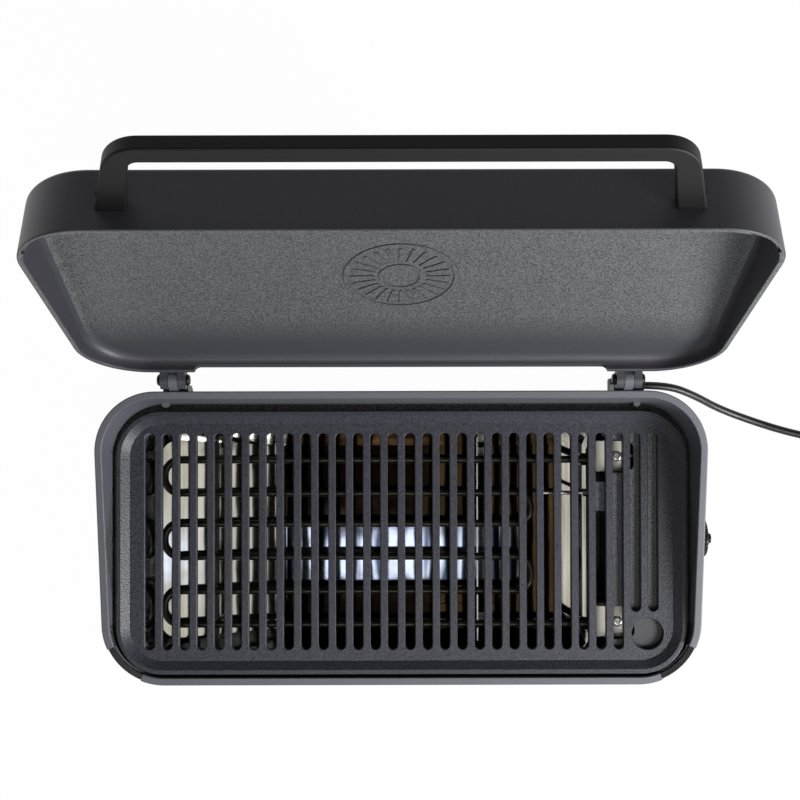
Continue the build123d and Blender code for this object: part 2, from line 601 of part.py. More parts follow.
pan_outside = pan_block(0)
pan_inside = pan_block(TRAY_SHEET)
sump_outside = sump_block(0, SUMP_DEPTH + TRAY_SHEET)
sump_inside = sump_block(TRAY_SHEET, SUMP_DEPTH)
with BuildPart() as reflector_tray:
    add(pan_outside)
    add(sump_outside)
    with BuildSketch(Plane.XY.offset(TRAY_TOP - TRAY_SHEET)):
        flange_left = CHAMBER_LEFT - TRAY_FLANGE
        flange_depth = chamber_size[1] + 2 * TRAY_FLANGE
        with Locations(((flange_left + TRAY_RIGHT_TOP) / 2, chamber_centre[1])):
            Rectangle(TRAY_RIGHT_TOP - flange_left, flange_depth)
    extrude(amount=TRAY_SHEET)
    add(pan_inside, mode=Mode.SUBTRACT)
    add(sump_inside, mode=Mode.SUBTRACT)
    with BuildSketch(side_plane(right_ramp_start)):
        for y, width in ((PASS_Y[0], 11), (PASS_Y[-1], 11), (PROBE_Y, 7)):
            with Locations((y, ELEMENT_HEIGHT - width / 2)):
                Rectangle(width, TRAY_TOP, align=(Align.CENTER, Align.MIN))
    extrude(amount=TRAY_RIGHT_TOP - right_ramp_start + 2, mode=Mode.SUBTRACT)
write(reflector_tray.part, "reflector_tray")

# Heating element: one tube in six passes, with its cold ends in the terminal blocks
element_end = BLOCK_LEFT + TERMINAL_DEPTH - SEAT_GAP
route = [(element_end, PASS_Y[0])]
for k in range(PASS_COUNT - 1):
    bend_x = BEND_LEFT if k % 2 == 0 else BEND_RIGHT
    route += [(bend_x, PASS_Y[k]), (bend_x, PASS_Y[k + 1])]
route.append((element_end, PASS_Y[-1]))
bend_pitch = min(PASS_Y[k] - PASS_Y[k + 1] for k in range(PASS_COUNT - 1))
with BuildPart() as heating_element:
    with BuildLine():
        FilletPolyline(*[(x, y, ELEMENT_HEIGHT) for x, y in route], radius=bend_pitch / 2 - 0.15)
    with BuildSketch(Plane(origin=(element_end, PASS_Y[0], ELEMENT_HEIGHT), z_dir=(-1, 0, 0))):
        Circle(TUBE_DIAMETER / 2)
    sweep()
write(heating_element.part, "heating_element")

# Two notched strips stand across the tray and hold the passes apart
support_floors = (
    ramp_plane(SUPPORT_X[0], left_ramp_start, LEFT_RAMP_SLOPE),
    ramp_plane(SUPPORT_X[1], SUPPORT_X[1], 0),
)
for x, floor, word in zip(SUPPORT_X, support_floors, ("left", "right")):
    strip_top = ELEMENT_HEIGHT + SUPPORT_TOP_MARGIN
    rise = (strip_top - TRAY_FLOOR_HEIGHT) / (TRAY_TOP - TRAY_FLOOR_HEIGHT)
    low_front = tray_front + TRAY_SIDE_LEAN + 3
    low_back = tray_back - TRAY_SIDE_LEAN - 3
    with BuildPart() as element_support:
        with BuildSketch(side_plane(x - SUPPORT_SHEET / 2)):
            with BuildLine():
                Polyline(
                    (low_front, TRAY_FLOOR_HEIGHT),
                    (low_back, TRAY_FLOOR_HEIGHT),
                    (low_back + rise * TRAY_SIDE_LEAN, strip_top),
                    (low_front - rise * TRAY_SIDE_LEAN, strip_top),
                    close=True,
                )
            make_face()
            with Locations(*[(y, ELEMENT_HEIGHT) for y in PASS_Y]):
                Circle(TUBE_DIAMETER / 2 + 0.2, mode=Mode.SUBTRACT)
                Rectangle(TUBE_DIAMETER + 0.4, 20, align=(Align.CENTER, Align.MIN), mode=Mode.SUBTRACT)
            between = [(y + z) / 2 for y, z in zip(PASS_Y, PASS_Y[1:])]
            with Locations(*[(y, ELEMENT_HEIGHT - SUPPORT_HOLE_DROP) for y in between]):
                Circle(SUPPORT_HOLE_RADIUS, mode=Mode.SUBTRACT)
        extrude(amount=SUPPORT_SHEET)
        split(bisect_by=floor.offset(SEAT_GAP), keep=Keep.TOP)
        with BuildSketch(floor.offset(SEAT_GAP)):
            for y in (low_front + 6, low_back - 6):
                with Locations((0, y)):
                    Rectangle(SUPPORT_FOOT, 12, align=(Align.MIN, Align.CENTER))
        extrude(amount=SUPPORT_SHEET)
    write(element_support.part, f"element_support_{word}")

# Ceramic terminal blocks on their shelves, each clamped down by one screw
for block_y, word in zip(BLOCK_Y, ("rear", "front")):
    pass_y = block_y - BLOCK_SHIFT
    block_bottom = SHELF_TOP + SEAT_GAP
    with BuildPart() as terminal_block:
        with BuildSketch(Plane.XY.offset(block_bottom)):
            with Locations((BLOCK_LEFT + BLOCK_WIDTH / 2, block_y)):
                Rectangle(BLOCK_WIDTH, BLOCK_LENGTH)
        extrude(amount=BLOCK_HEIGHT)
        fillet(terminal_block.edges().filter_by(Axis.Z), 1.2)
        fillet(terminal_block.faces().sort_by(Axis.Z)[-1].edges(), 0.8)
        with BuildSketch(side_plane(BLOCK_LEFT)):
            with Locations((pass_y, ELEMENT_HEIGHT)):
                Circle(TUBE_DIAMETER / 2 + 0.1)
        extrude(amount=TERMINAL_DEPTH, mode=Mode.SUBTRACT)
        with Locations((BLOCK_SCREW_X, block_y, block_bottom + BLOCK_HEIGHT)):
            CounterBoreHole(SCREW_M4 / 2 + 0.1, BLOCK_RECESS_RADIUS, BLOCK_RECESS_DEPTH)
    write(terminal_block.part, f"terminal_block_{word}")

terminal_screw = screw(4.5, 2.6, SCREW_M4 / 2, BLOCK_HEIGHT - BLOCK_RECESS_DEPTH + 3)
with BuildPart() as terminal_screws:
    seat = SHELF_TOP + 2 * SEAT_GAP + BLOCK_HEIGHT - BLOCK_RECESS_DEPTH
    with Locations(*[(BLOCK_SCREW_X, y, seat) for y in BLOCK_Y]):
        add(terminal_screw)
write(terminal_screws.part, "terminal_screws")

# Temperature probe through the partition, with its collar on the control side
with BuildPart() as temperature_probe:
    collar_x = PARTITION_X + RIB_THICKNESS / 2 + SEAT_GAP
    with BuildSketch(side_plane(PROBE_LEFT)):
        with Locations((PROBE_Y, ELEMENT_HEIGHT)):
            Circle(PROBE_DIAMETER / 2)
    extrude(amount=collar_x - PROBE_LEFT + PROBE_TAIL)
    with BuildSketch(side_plane(collar_x)):
        with Locations((PROBE_Y, ELEMENT_HEIGHT)):
            RegularPolygon(PROBE_COLLAR_RADIUS, 6)
    extrude(amount=PROBE_COLLAR_LENGTH)
write(temperature_probe.part, "temperature_probe")

# Thermostat inside the right wall: a ceramic switch body with a threaded bush
wall_face = INNER_HALF_WIDTH - SEAT_GAP
bush_end = HALF_WIDTH + SEAT_GAP + BUSH_NUT_THICKNESS + 1
shaft_end = HALF_WIDTH + KNOB_GAP + KNOB_DEPTH - KNOB_FACE
with BuildPart() as thermostat:
    with BuildSketch(side_plane(wall_face - THERMOSTAT_DEPTH)):
        with Locations((KNOB_Y, KNOB_HEIGHT)):
            RectangleRounded(THERMOSTAT_SIZE, THERMOSTAT_SIZE, 3)
    extrude(amount=THERMOSTAT_DEPTH - 2)
    with BuildSketch(side_plane(wall_face - 2)):
        with Locations((KNOB_Y, KNOB_HEIGHT)):
            Rectangle(THERMOSTAT_SIZE - 6, THERMOSTAT_SIZE - 6)
    extrude(amount=2)
    with BuildSketch(side_plane(wall_face - 1)):
        with Locations((KNOB_Y, KNOB_HEIGHT)):
            Circle(BUSH_DIAMETER / 2)
    extrude(amount=bush_end - wall_face + 1)
    with BuildSketch(side_plane(wall_face - THERMOSTAT_DEPTH / 2)):
        with Locations((KNOB_Y, KNOB_HEIGHT)):
            Circle(SHAFT_DIAMETER / 2 + SHAFT_CLEARANCE)
    extrude(amount=THERMOSTAT_DEPTH + 20, mode=Mode.SUBTRACT)
    with BuildSketch(side_plane(wall_face - THERMOSTAT_DEPTH)):
        for y in (-9, 9):
            with Locations((KNOB_Y + y, KNOB_HEIGHT)):
                Rectangle(TAB_SHEET, TAB_WIDTH)
    extrude(amount=-8)
write(thermostat.part, "thermostat")

with BuildPart() as thermostat_nut:
    with BuildSketch(side_plane(HALF_WIDTH + SEAT_GAP)):
        with Locations((KNOB_Y, KNOB_HEIGHT)):
            RegularPolygon(BUSH_NUT_SIZE / 2, 6, major_radius=False)
            Circle(BUSH_DIAMETER / 2 + 0.1, mode=Mode.SUBTRACT)
    extrude(amount=BUSH_NUT_THICKNESS)
write(thermostat_nut.part, "thermostat_nut")

with BuildPart() as thermostat_shaft:
    with BuildSketch(side_plane(wall_face - THERMOSTAT_DEPTH / 2 + SEAT_GAP)):
        with Locations((KNOB_Y, KNOB_HEIGHT)):
            Circle(SHAFT_DIAMETER / 2)
    extrude(amount=shaft_end - (wall_face - THERMOSTAT_DEPTH / 2 + SEAT_GAP))
write(thermostat_shaft.part, "thermostat_shaft")

# Control knob: a fluted drum with a raised pointer on its face
with BuildPart() as control_knob:
    knob_back = HALF_WIDTH + KNOB_GAP
    with BuildSketch(side_plane(knob_back)):
        with Locations((KNOB_Y, KNOB_HEIGHT)):
            Circle(KNOB_DIAMETER / 2)
    extrude(amount=KNOB_DEPTH - KNOB_POINTER_RISE)
    fillet(control_knob.faces().sort_by(Axis.X)[-1].edges(), 1.5)
    with BuildSketch(side_plane(knob_back + 2)):
        with Locations((KNOB_Y, KNOB_HEIGHT)):
            with PolarLocations(KNOB_DIAMETER / 2 + 0.7, KNOB_FLUTES):
                Circle(1.5)
    extrude(amount=KNOB_DEPTH, mode=Mode.SUBTRACT)
    with BuildSketch(side_plane(knob_back + KNOB_DEPTH - KNOB_POINTER_RISE - 0.5)):
        with Locations((KNOB_Y, KNOB_HEIGHT)):
            SlotOverall(KNOB_DIAMETER - 7, KNOB_GRIP_WIDTH, rotation=90)
    extrude(amount=KNOB_POINTER_RISE + 0.5)
    fillet(control_knob.faces().sort_by(Axis.X)[-1].edges(), 0.6)
    with BuildSketch(side_plane(knob_back)):
        with Locations((KNOB_Y, KNOB_HEIGHT)):
            Circle(BUSH_NUT_SIZE / 2 + 2.5)
    extrude(amount=BUSH_NUT_THICKNESS + 1.5, mode=Mode.SUBTRACT)
    with BuildSketch(side_plane(knob_back)):
        with Locations((KNOB_Y, KNOB_HEIGHT)):
            Circle(SHAFT_DIAMETER / 2 + 0.05)
    extrude(amount=shaft_end - knob_back + 0.2, mode=Mode.SUBTRACT)
write(control_knob.part, "control_knob")

# Lid: the hollow that is taken out of it is drawn first
with BuildPart() as lid_hollow:
    with BuildSketch(Plane.XY.offset(RIM_FRONT_HEIGHT - 20)):
        RectangleRounded(BODY_WIDTH - 2 * LID_WALL, BODY_DEPTH - 2 * LID_WALL, CORNER_RADIUS - LID_WALL)
    extrude(amount=ABOVE_ALL - RIM_FRONT_HEIGHT + 20)
    split(bisect_by=roof_plane.offset(-LID_ROOF), keep=Keep.BOTTOM)
    fillet(lid_hollow.faces().sort_by(Axis.Z)[-1].edges(), LID_INNER_RADIUS)

lid_notches = []
for side in (-1, 1):
    pad = corner_sector(side, CORNER_RADIUS - LID_WALL - 1, CORNER_RADIUS - LID_WALL / 2, BUMPER_SPAN)
    lid_notches.append(pad.split(lid_rim_plane.offset(LID_NOTCH), keep=Keep.BOTTOM))

medallion_plane = roof_plane.offset(-LID_ROOF - MEDALLION_RISE)
medallion_drop = (MEDALLION_Y - HALF_DEPTH) / math.cos(ROOF_SLOPE)
with BuildPart() as lid_shell:
    with BuildSketch(Plane.XY.offset(RIM_FRONT_HEIGHT - 20)):
        RectangleRounded(BODY_WIDTH, BODY_DEPTH, CORNER_RADIUS)
    extrude(amount=ABOVE_ALL - RIM_FRONT_HEIGHT + 20)
    split(bisect_by=roof_plane, keep=Keep.BOTTOM)
    fillet(lid_shell.faces().sort_by(Axis.Z)[-1].edges(), LID_EDGE_RADIUS)
    split(bisect_by=lid_rim_plane, keep=Keep.TOP)
    add(lid_hollow.part, mode=Mode.SUBTRACT)
    lid_rim_face = lid_shell.faces().filter_by(lid_rim_plane).sort_by(Axis.Z)[0]
    fillet(lid_rim_face.edges(), RIM_EDGE_RADIUS)
    for pad in lid_notches:
        add(pad, mode=Mode.SUBTRACT)

    # The steam gap in the back edge, between the hinges
    with BuildSketch(Plane.XZ.offset(-HALF_DEPTH - 1)):
        with Locations((0, RIM_BACK_HEIGHT + LID_GAP)):
            SlotOverall(2 * VENT_HALF_WIDTH, 2 * VENT_HEIGHT)
    extrude(amount=LID_WALL + 2, mode=Mode.SUBTRACT)

    # A plain medallion of rings and short rays on the inside of the roof
    with BuildSketch(medallion_plane):
        with Locations((0, medallion_drop)):
            Circle(MEDALLION_RADIUS)
            Circle(MEDALLION_RADIUS - 3, mode=Mode.SUBTRACT)
            Circle(MEDALLION_HUB + 2.5)
            Circle(MEDALLION_HUB, mode=Mode.SUBTRACT)
            ray_middle = (MEDALLION_RADIUS + MEDALLION_HUB) / 2
            with PolarLocations(ray_middle, MEDALLION_RAYS):
                SlotOverall(MEDALLION_RAY_LENGTH, 2.4)
    extrude(amount=MEDALLION_RISE + 0.3)

    # Two ears on each hinge, with a heel that meets the stop block when open
    for side in (-1, 1):
        for outward in (-1, 1):
            ear_middle = BODY_EAR_WIDTH / 2 + EAR_GAP + LID_EAR_WIDTH / 2
            ear_start = side * HINGE_X + outward * ear_middle - LID_EAR_WIDTH / 2
            with BuildSketch(side_plane(ear_start)):
                with Locations((AXIS_Y, AXIS_Z)):
                    Circle(KNUCKLE_RADIUS)
                with Locations((HALF_DEPTH - 1, AXIS_Z + EAR_ROOT_RISE)):
                    Rectangle(1, EAR_ROOT_HEIGHT, align=(Align.CENTER, Align.MIN))
                make_hull()
                with Locations((AXIS_Y, AXIS_Z)):
                    Rectangle(
                        HEEL_REACH,
                        2 * HEEL_HALF_WIDTH,
                        rotation=LID_OPEN_ANGLE - 90,
                        align=(Align.MIN, Align.CENTER),
                    )
                    Circle(PIN_DIAMETER / 2 + PIN_CLEARANCE, mode=Mode.SUBTRACT)
            extrude(amount=LID_EAR_WIDTH)

    # Holes for the handle's screws
    handle_bottom = RIM_FRONT_HEIGHT + LID_GAP + HANDLE_ABOVE_RIM
    screw_z = handle_bottom + HANDLE_HEIGHT / 2
    foot_middle = HANDLE_FOOT_HALF - HANDLE_FOOT_WIDTH / 2
    screw_x = [s * (foot_middle + t * HANDLE_SCREW_OFFSET) for s in (-1, 1) for t in (-1, 1)]
    with BuildSketch(Plane.XZ.offset(HALF_DEPTH + 1)):
        with Locations(*[(x, screw_z) for x in screw_x]):
            Circle(SCREW_M5 / 2 + 0.25)
    extrude(amount=-LID_WALL - 2, mode=Mode.SUBTRACT)
write_open(lid_shell.part, "lid_shell")

# Handle: a flat bow with leaning legs, screwed on from inside the lid
foot_face = -HALF_DEPTH - SEAT_GAP
bar_face = foot_face - HANDLE_REACH
outer_lean = HANDLE_REACH * math.tan(math.radians(HANDLE_LEAN))
inner_reach = HANDLE_REACH - HANDLE_BAR_DEPTH
inner_lean = inner_reach * math.tan(math.radians(HANDLE_INNER_LEAN))
inner_foot = HANDLE_FOOT_HALF - HANDLE_FOOT_WIDTH
with BuildPart() as handle:
    with BuildSketch(Plane.XY.offset(handle_bottom)):
        with BuildLine():
            outer = FilletPolyline(
                (HANDLE_FOOT_HALF, foot_face),
                (HANDLE_FOOT_HALF - outer_lean, bar_face),
                (outer_lean - HANDLE_FOOT_HALF, bar_face),
                (-HANDLE_FOOT_HALF, foot_face),
                radius=HANDLE_OUTER_RADIUS,
            )
            inner = FilletPolyline(
                (inner_foot, foot_face),
                (inner_foot - inner_lean, foot_face - inner_reach),
                (inner_lean - inner_foot, foot_face - inner_reach),
                (-inner_foot, foot_face),
                radius=HANDLE_INNER_RADIUS,
            )
            Line(outer @ 0, inner @ 0)
            Line(outer @ 1, inner @ 1)
        make_face()
    extrude(amount=HANDLE_HEIGHT)
    free_edges = handle.edges().filter_by(lambda edge: edge.center().Y < foot_face - 1)
    level_edges = free_edges.filter_by(lambda edge: abs(edge.tangent_at(0.5).Z) < 0.1)
    fillet(level_edges, HANDLE_EDGE)
    with BuildSketch(Plane.XZ.offset(-foot_face)):
        with Locations(*[(x, screw_z) for x in screw_x]):
            Circle(SCREW_M5 / 2 + 0.05)
    extrude(amount=HANDLE_SCREW_DEPTH, mode=Mode.SUBTRACT)
write_open(handle.part, "handle")

handle_screw = screw(4.4, 3.2, SCREW_M5 / 2, LID_WALL + HANDLE_SCREW_DEPTH - 1)
with BuildPart() as handle_screws:
    with Locations(*[(x, -HALF_DEPTH + LID_WALL + SEAT_GAP, screw_z) for x in screw_x]):
        add(handle_screw.rotate(Axis.X, -90))
write_open(handle_screws.part, "handle_screws")

# Hinge pins with a domed head at both ends
head_start = BODY_EAR_WIDTH / 2 + EAR_GAP + LID_EAR_WIDTH + LIFT_GAP
pin_half_length = head_start + PIN_HEAD_HEIGHT
for side, word in ((-1, "left"), (1, "right")):
    with BuildPart() as hinge_pin:
        for start in (-pin_half_length, head_start):
            with BuildSketch(side_plane(side * HINGE_X + start)):
                with Locations((AXIS_Y, AXIS_Z)):
                    Circle(PIN_HEAD_RADIUS)
            extrude(amount=PIN_HEAD_HEIGHT)
        pin_rims = hinge_pin.edges().sort_by(Axis.X)
        fillet([pin_rims[0], pin_rims[-1]], PIN_HEAD_DOME)
        with BuildSketch(side_plane(side * HINGE_X - head_start - 1)):
            with Locations((AXIS_Y, AXIS_Z)):
                Circle(PIN_DIAMETER / 2)
        extrude(amount=2 * head_start + 2)
    write(hinge_pin.part, f"hinge_pin_{word}")

# Bottom cover with its cooling slots, screw holes and foot holes
foot_places = [(s * FOOT_X, t * FOOT_Y) for s in (-1, 1) for t in (-1, 1)]
with BuildPart() as bottom_cover:
    with BuildSketch(Plane.XY.offset(SHELL_BOTTOM)):
        RectangleRounded(
            2 * (INNER_HALF_WIDTH - SIDE_GAP),
            2 * (INNER_HALF_DEPTH - SIDE_GAP),
            INNER_RADIUS - SIDE_GAP,
        )
        with Locations(*post_places):
            Circle(SCREW_M4 / 2 + 0.3, mode=Mode.SUBTRACT)
        with Locations(*foot_places):
            Circle(FOOT_STEM_RADIUS + 0.1, mode=Mode.SUBTRACT)
        for field_x in (-VENT_FIELD_X, VENT_FIELD_X):
            with Locations((field_x, 0)):
                with GridLocations(VENT_PITCH, VENT_ROW_PITCH, 9, 2):
                    SlotOverall(VENT_LENGTH, VENT_WIDTH, rotation=90, mode=Mode.SUBTRACT)
    extrude(amount=COVER_SHEET)
write(bottom_cover.part, "bottom_cover")

cover_screw = screw(3.6, 2.2, SCREW_M4 / 2, COVER_SCREW_LENGTH)
with BuildPart() as cover_screws:
    with Locations(*[(x, y, SHELL_BOTTOM - SEAT_GAP) for x, y in post_places]):
        add(cover_screw.rotate(Axis.X, 180))
write(cover_screws.part, "cover_screws")

# Rubber feet, each pushed through the cover by a barbed stem
with BuildPart() as rubber_feet:
    with BuildSketch(Plane.XZ):
        with BuildLine():
            foot_top = SHELL_BOTTOM - SEAT_GAP
            stem_top = SHELL_BOTTOM + COVER_SHEET + SEAT_GAP
            Polyline(
                (0, 0),
                (FOOT_RADIUS - 2.5, 0),
                (FOOT_RADIUS - 1.5, 1),
                (FOOT_RADIUS, foot_top),
                (FOOT_STEM_RADIUS, foot_top),
                (FOOT_STEM_RADIUS, stem_top),
                (FOOT_STEM_RADIUS + 1.2, stem_top + 0.6),
                (FOOT_STEM_RADIUS - 0.8, stem_top + 4),
                (0, stem_top + 4),
                close=True,
            )
        make_face()
    revolve(axis=Axis.Z)
one_foot = rubber_feet.part
with BuildPart() as rubber_feet:
    with Locations(*foot_places):
        add(one_foot)
write(rubber_feet.part, "rubber_feet")

# Cable gland on the back wall: the lead turns along the wall inside it
lead_y = HALF_DEPTH + LEAD_OFF_WALL
gland_right = GLAND_X + GLAND_BLOCK_WIDTH / 2
lead_start = gland_right + GLAND_NOZZLE
with BuildPart() as cable_gland:
    with BuildSketch(Plane.XZ.offset(-HALF_DEPTH - SEAT_GAP)):
        with Locations((GLAND_X, GLAND_HEIGHT)):
            RectangleRounded(GLAND_BLOCK_WIDTH, GLAND_BLOCK_HEIGHT, 3)
    extrude(amount=-GLAND_BLOCK_DEPTH)
    fillet(cable_gland.faces().sort_by(Axis.Y)[-1].edges(), 2)
    with BuildSketch(side_plane(gland_right - 1)):
        with Locations((lead_y, GLAND_HEIGHT)):
            Circle(GLAND_BLOCK_DEPTH / 2 - 0.6)
    with BuildSketch(side_plane(lead_start)):
        with Locations((lead_y, GLAND_HEIGHT)):
            Circle(GLAND_TIP_RADIUS)
    loft()
    with BuildSketch(Plane.XZ.offset(-HALF_DEPTH - 2)):
        with Locations((GLAND_X, GLAND_HEIGHT)):
            Circle(SPIGOT_RADIUS)
    extrude(amount=RIM_WALL + 8)
write(cable_gland.part, "cable_gland")

with BuildPart() as gland_nut:
    with BuildSketch(Plane.XZ.offset(SEAT_GAP - INNER_HALF_DEPTH)):
        with Locations((GLAND_X, GLAND_HEIGHT)):
            RegularPolygon(7, 6, rotation=30)
            Circle(SPIGOT_RADIUS + 0.1, mode=Mode.SUBTRACT)
    extrude(amount=3.5)
write(gland_nut.part, "gland_nut")

# Mains lead: straight runs joined by tangent arcs, from the gland to the coil
lead_radius = LEAD_DIAMETER / 2
coil_low = COIL_LIFT + lead_radius
coil_turns = 2 * LAYER_TURNS + CLIMB_TURNS
coil_outer = COIL_INNER_RADIUS + COIL_PITCH * coil_turns / 2
coil_entry = (COIL_CENTRE[0] - LEAD_DIAMETER, COIL_CENTRE[1] + coil_outer, coil_low)
lead_points = [
    (lead_start, lead_y, GLAND_HEIGHT),
    (lead_start + 22, lead_y, GLAND_HEIGHT),
    *[(HALF_WIDTH + x, HALF_DEPTH + y, z) for x, y, z in LEAD_BENDS],
    (coil_entry[0] - LEAD_RUN_IN, coil_entry[1], coil_low),
    coil_entry,
]


def corner_radii(points):
    """The largest arc that each corner's two runs allow."""
    radii = []
    for before, here, after in zip(points, points[1:], points[2:]):
        first = Vector(*here) - Vector(*before)
        second = Vector(*after) - Vector(*here)
        turn = math.radians(first.get_angle(second))
        radii.append(0.45 * min(first.length, second.length) / math.tan(turn / 2))
    return radii


lead_radii = corner_radii(lead_points)
with BuildPart() as mains_lead:
    with BuildLine() as lead_path:
        FilletPolyline(*lead_points, radius=lead_radii)
    with BuildSketch(Plane(origin=lead_points[0], z_dir=(1, 0, 0))):
        Circle(lead_radius)
    sweep()
lead_length = sum(edge.length for edge in lead_path.edges())
lead_ratio = mains_lead.part.volume / (math.pi * lead_radius**2 * lead_length)
print("lead radii", [round(r, 1) for r in lead_radii])
print("lead length", round(lead_length, 1), "volume ratio", round(lead_ratio, 4))
write(mains_lead.part, "mains_lead")

# Put-away coil: in along the lower layer, up in half a turn, out along the upper one
def coil_point(turn):
    """A point on the coil's centre line; turn counts clockwise from the entry."""
    climb = min(max((turn - LAYER_TURNS) / CLIMB_TURNS, 0), 1)
    radius = coil_outer - COIL_PITCH * min(turn, coil_turns - turn)
    angle = math.pi / 2 - 2 * math.pi * turn
    return Vector(
        COIL_CENTRE[0] + radius * math.cos(angle),
        COIL_CENTRE[1] + radius * math.sin(angle),
        coil_low + LAYER_RISE * (3 * climb**2 - 2 * climb**3),
    )


def coil_heading(turn):
    """The coil's direction there; its two ends point along +X."""
    if turn <= 0 or turn >= coil_turns:
        return Vector(1, 0, 0)
    return (coil_point(turn + 0.01) - coil_point(turn - 0.01)).normalized()


def biarc(start, start_way, end, end_way):
    """Two arcs, tangent to each other and to both ways."""
    across = end - start
    ways = start_way + end_way
    spread = 2 * (1 - start_way.dot(end_way))
    along = across.dot(ways)
    reach = (math.sqrt(along**2 + spread * across.dot(across)) - along) / spread
    middle = (start + end + (start_way - end_way) * reach) * 0.5
    middle_way = (middle - (start + start_way * reach)).normalized()
    TangentArc(start, middle, tangent=start_way)
    TangentArc(middle, end, tangent=middle_way)


with BuildPart() as cord_coil:
    with BuildLine() as coil_path:
        Line(coil_entry, coil_point(0))
        for quarter in range(round(4 * coil_turns)):
            turn = quarter / 4
            biarc(coil_point(turn), coil_heading(turn), coil_point(turn + 0.25), coil_heading(turn + 0.25))
        coil_end = coil_point(coil_turns)
        Line(coil_end, coil_end + Vector(COIL_TAIL, 0, 0))
    with BuildSketch(Plane(origin=coil_entry, z_dir=(1, 0, 0))):
        Circle(lead_radius)
    sweep()
coil_length = sum(edge.length for edge in coil_path.edges())
coil_ratio = cord_coil.part.volume / (math.pi * lead_radius**2 * coil_length)
steps = 48
samples = [coil_point(k / steps) for k in range(round(steps * coil_turns) + 1)]
least = min(
    (samples[i] - samples[j]).length - LEAD_DIAMETER
    for i in range(len(samples))
    for j in range(i + steps // 2, len(samples))
)
print("coil length", round(coil_length, 1), "volume ratio", round(coil_ratio, 4), "least gap", round(least, 2))
print("whole lead", round(lead_length + coil_length, 1))
write(cord_coil.part, "cord_coil")

# Strap round the coil's turns, on the side away from the ends
tie_inside = coil_outer - COIL_PITCH * 2.5 - lead_radius - TIE_SLACK
tie_outside = coil_outer - COIL_PITCH * 0.5 + lead_radius + TIE_SLACK
tie_middle = COIL_CENTRE[1] - (tie_inside + tie_outside) / 2
tie_width = tie_outside - tie_inside
tie_low = COIL_LIFT - TIE_SLACK / 4
tie_height = LEAD_DIAMETER + LAYER_RISE + TIE_SLACK / 2
with BuildPart() as coil_tie:
    with BuildSketch(side_plane(COIL_CENTRE[0] - TIE_WIDTH / 2)):
        with Locations((tie_middle, tie_low + tie_height / 2)):
            RectangleRounded(tie_width + 2 * TIE_SHEET, tie_height + 2 * TIE_SHEET, 4)
            RectangleRounded(tie_width, tie_height, 3, mode=Mode.SUBTRACT)
    extrude(amount=TIE_WIDTH)
write(coil_tie.part, "coil_tie")

# Moulded plug that lies flat beside the coil, with its pins
plug_start = coil_end + Vector(COIL_TAIL, 0, 0)
plug_height = 2 * plug_start.Z
with BuildPart() as mains_plug:
    with BuildSketch(side_plane(plug_start.X + 12)):
        with Locations((plug_start.Y, plug_start.Z)):
            RectangleRounded(PLUG_WIDTH, plug_height - 0.2, 6)
    extrude(amount=PLUG_LENGTH - 12)
    fillet(mains_plug.edges().filter_by(Axis.X, reverse=True), 1.5)
    with BuildSketch(side_plane(plug_start.X)):
        with Locations((plug_start.Y, plug_start.Z)):
            Circle(lead_radius + 1.2)
    with BuildSketch(side_plane(plug_start.X + 13.6)):
        with Locations((plug_start.Y, plug_start.Z)):
            Circle(lead_radius + 5)
    loft()
write(mains_plug.part, "mains_plug")

with BuildPart() as plug_pins:
    with BuildSketch(side_plane(plug_start.X + PLUG_LENGTH + SEAT_GAP)):
        for y in (-6.35, 6.35):
            with Locations((plug_start.Y + y, plug_start.Z - 2)):
                Rectangle(1.6, 6.3)
    extrude(amount=16)
    with BuildSketch(side_plane(plug_start.X + PLUG_LENGTH + SEAT_GAP)):
        with Locations((plug_start.Y, plug_start.Z + 6)):
            Circle(2.4)
    extrude(amount=19)
write(plug_pins.part, "plug_pins")

# Inner wires: gland to thermostat, gland to the front block, thermostat to the rear block
wire_radius = WIRE_DIAMETER / 2
spigot_end = HALF_DEPTH + 2 - RIM_WALL - 8 - SEAT_GAP
block_right = BLOCK_LEFT + BLOCK_WIDTH + SEAT_GAP
tab_end = wall_face - THERMOSTAT_DEPTH - 8 - SEAT_GAP
wire_routes = [
    [
        (GLAND_X, spigot_end, GLAND_HEIGHT + 2.2),
        (GLAND_X, spigot_end - 12, GLAND_HEIGHT + 2.2),
        (GLAND_X + 8, spigot_end - 40, GLAND_HEIGHT + 4),
        (tab_end - 14, KNOB_Y + 9, KNOB_HEIGHT),
        (tab_end, KNOB_Y + 9, KNOB_HEIGHT),
    ],
    [
        (GLAND_X, spigot_end, GLAND_HEIGHT - 2.2),
        (GLAND_X, spigot_end - 12, GLAND_HEIGHT - 2.2),
        (GLAND_X + 4, spigot_end - 40, 30),
        (block_right + 14, BLOCK_Y[1] + 20, 34),
        (block_right + 13, BLOCK_Y[1], ELEMENT_HEIGHT),
        (block_right, BLOCK_Y[1], ELEMENT_HEIGHT),
    ],
    [
        (tab_end, KNOB_Y - 9, KNOB_HEIGHT),
        (tab_end - 12, KNOB_Y - 9, KNOB_HEIGHT),
        (tab_end - 12, KNOB_Y - 2, KNOB_HEIGHT - 24),
        (block_right + 16, BLOCK_Y[0] - 14, KNOB_HEIGHT - 24),
        (block_right + 14, BLOCK_Y[0], ELEMENT_HEIGHT + 2),
        (block_right, BLOCK_Y[0], ELEMENT_HEIGHT + 2),
    ],
]
wires = []
for wire_route in wire_routes:
    way = Vector(*wire_route[1]) - Vector(*wire_route[0])
    with BuildPart() as wire:
        with BuildLine():
            FilletPolyline(*wire_route, radius=4.5)
        with BuildSketch(Plane(origin=wire_route[0], z_dir=way)):
            Circle(wire_radius)
        sweep()
    wires.append(wire.part)
with BuildPart() as inner_wires:
    add(wires)
write(inner_wires.part, "inner_wires")
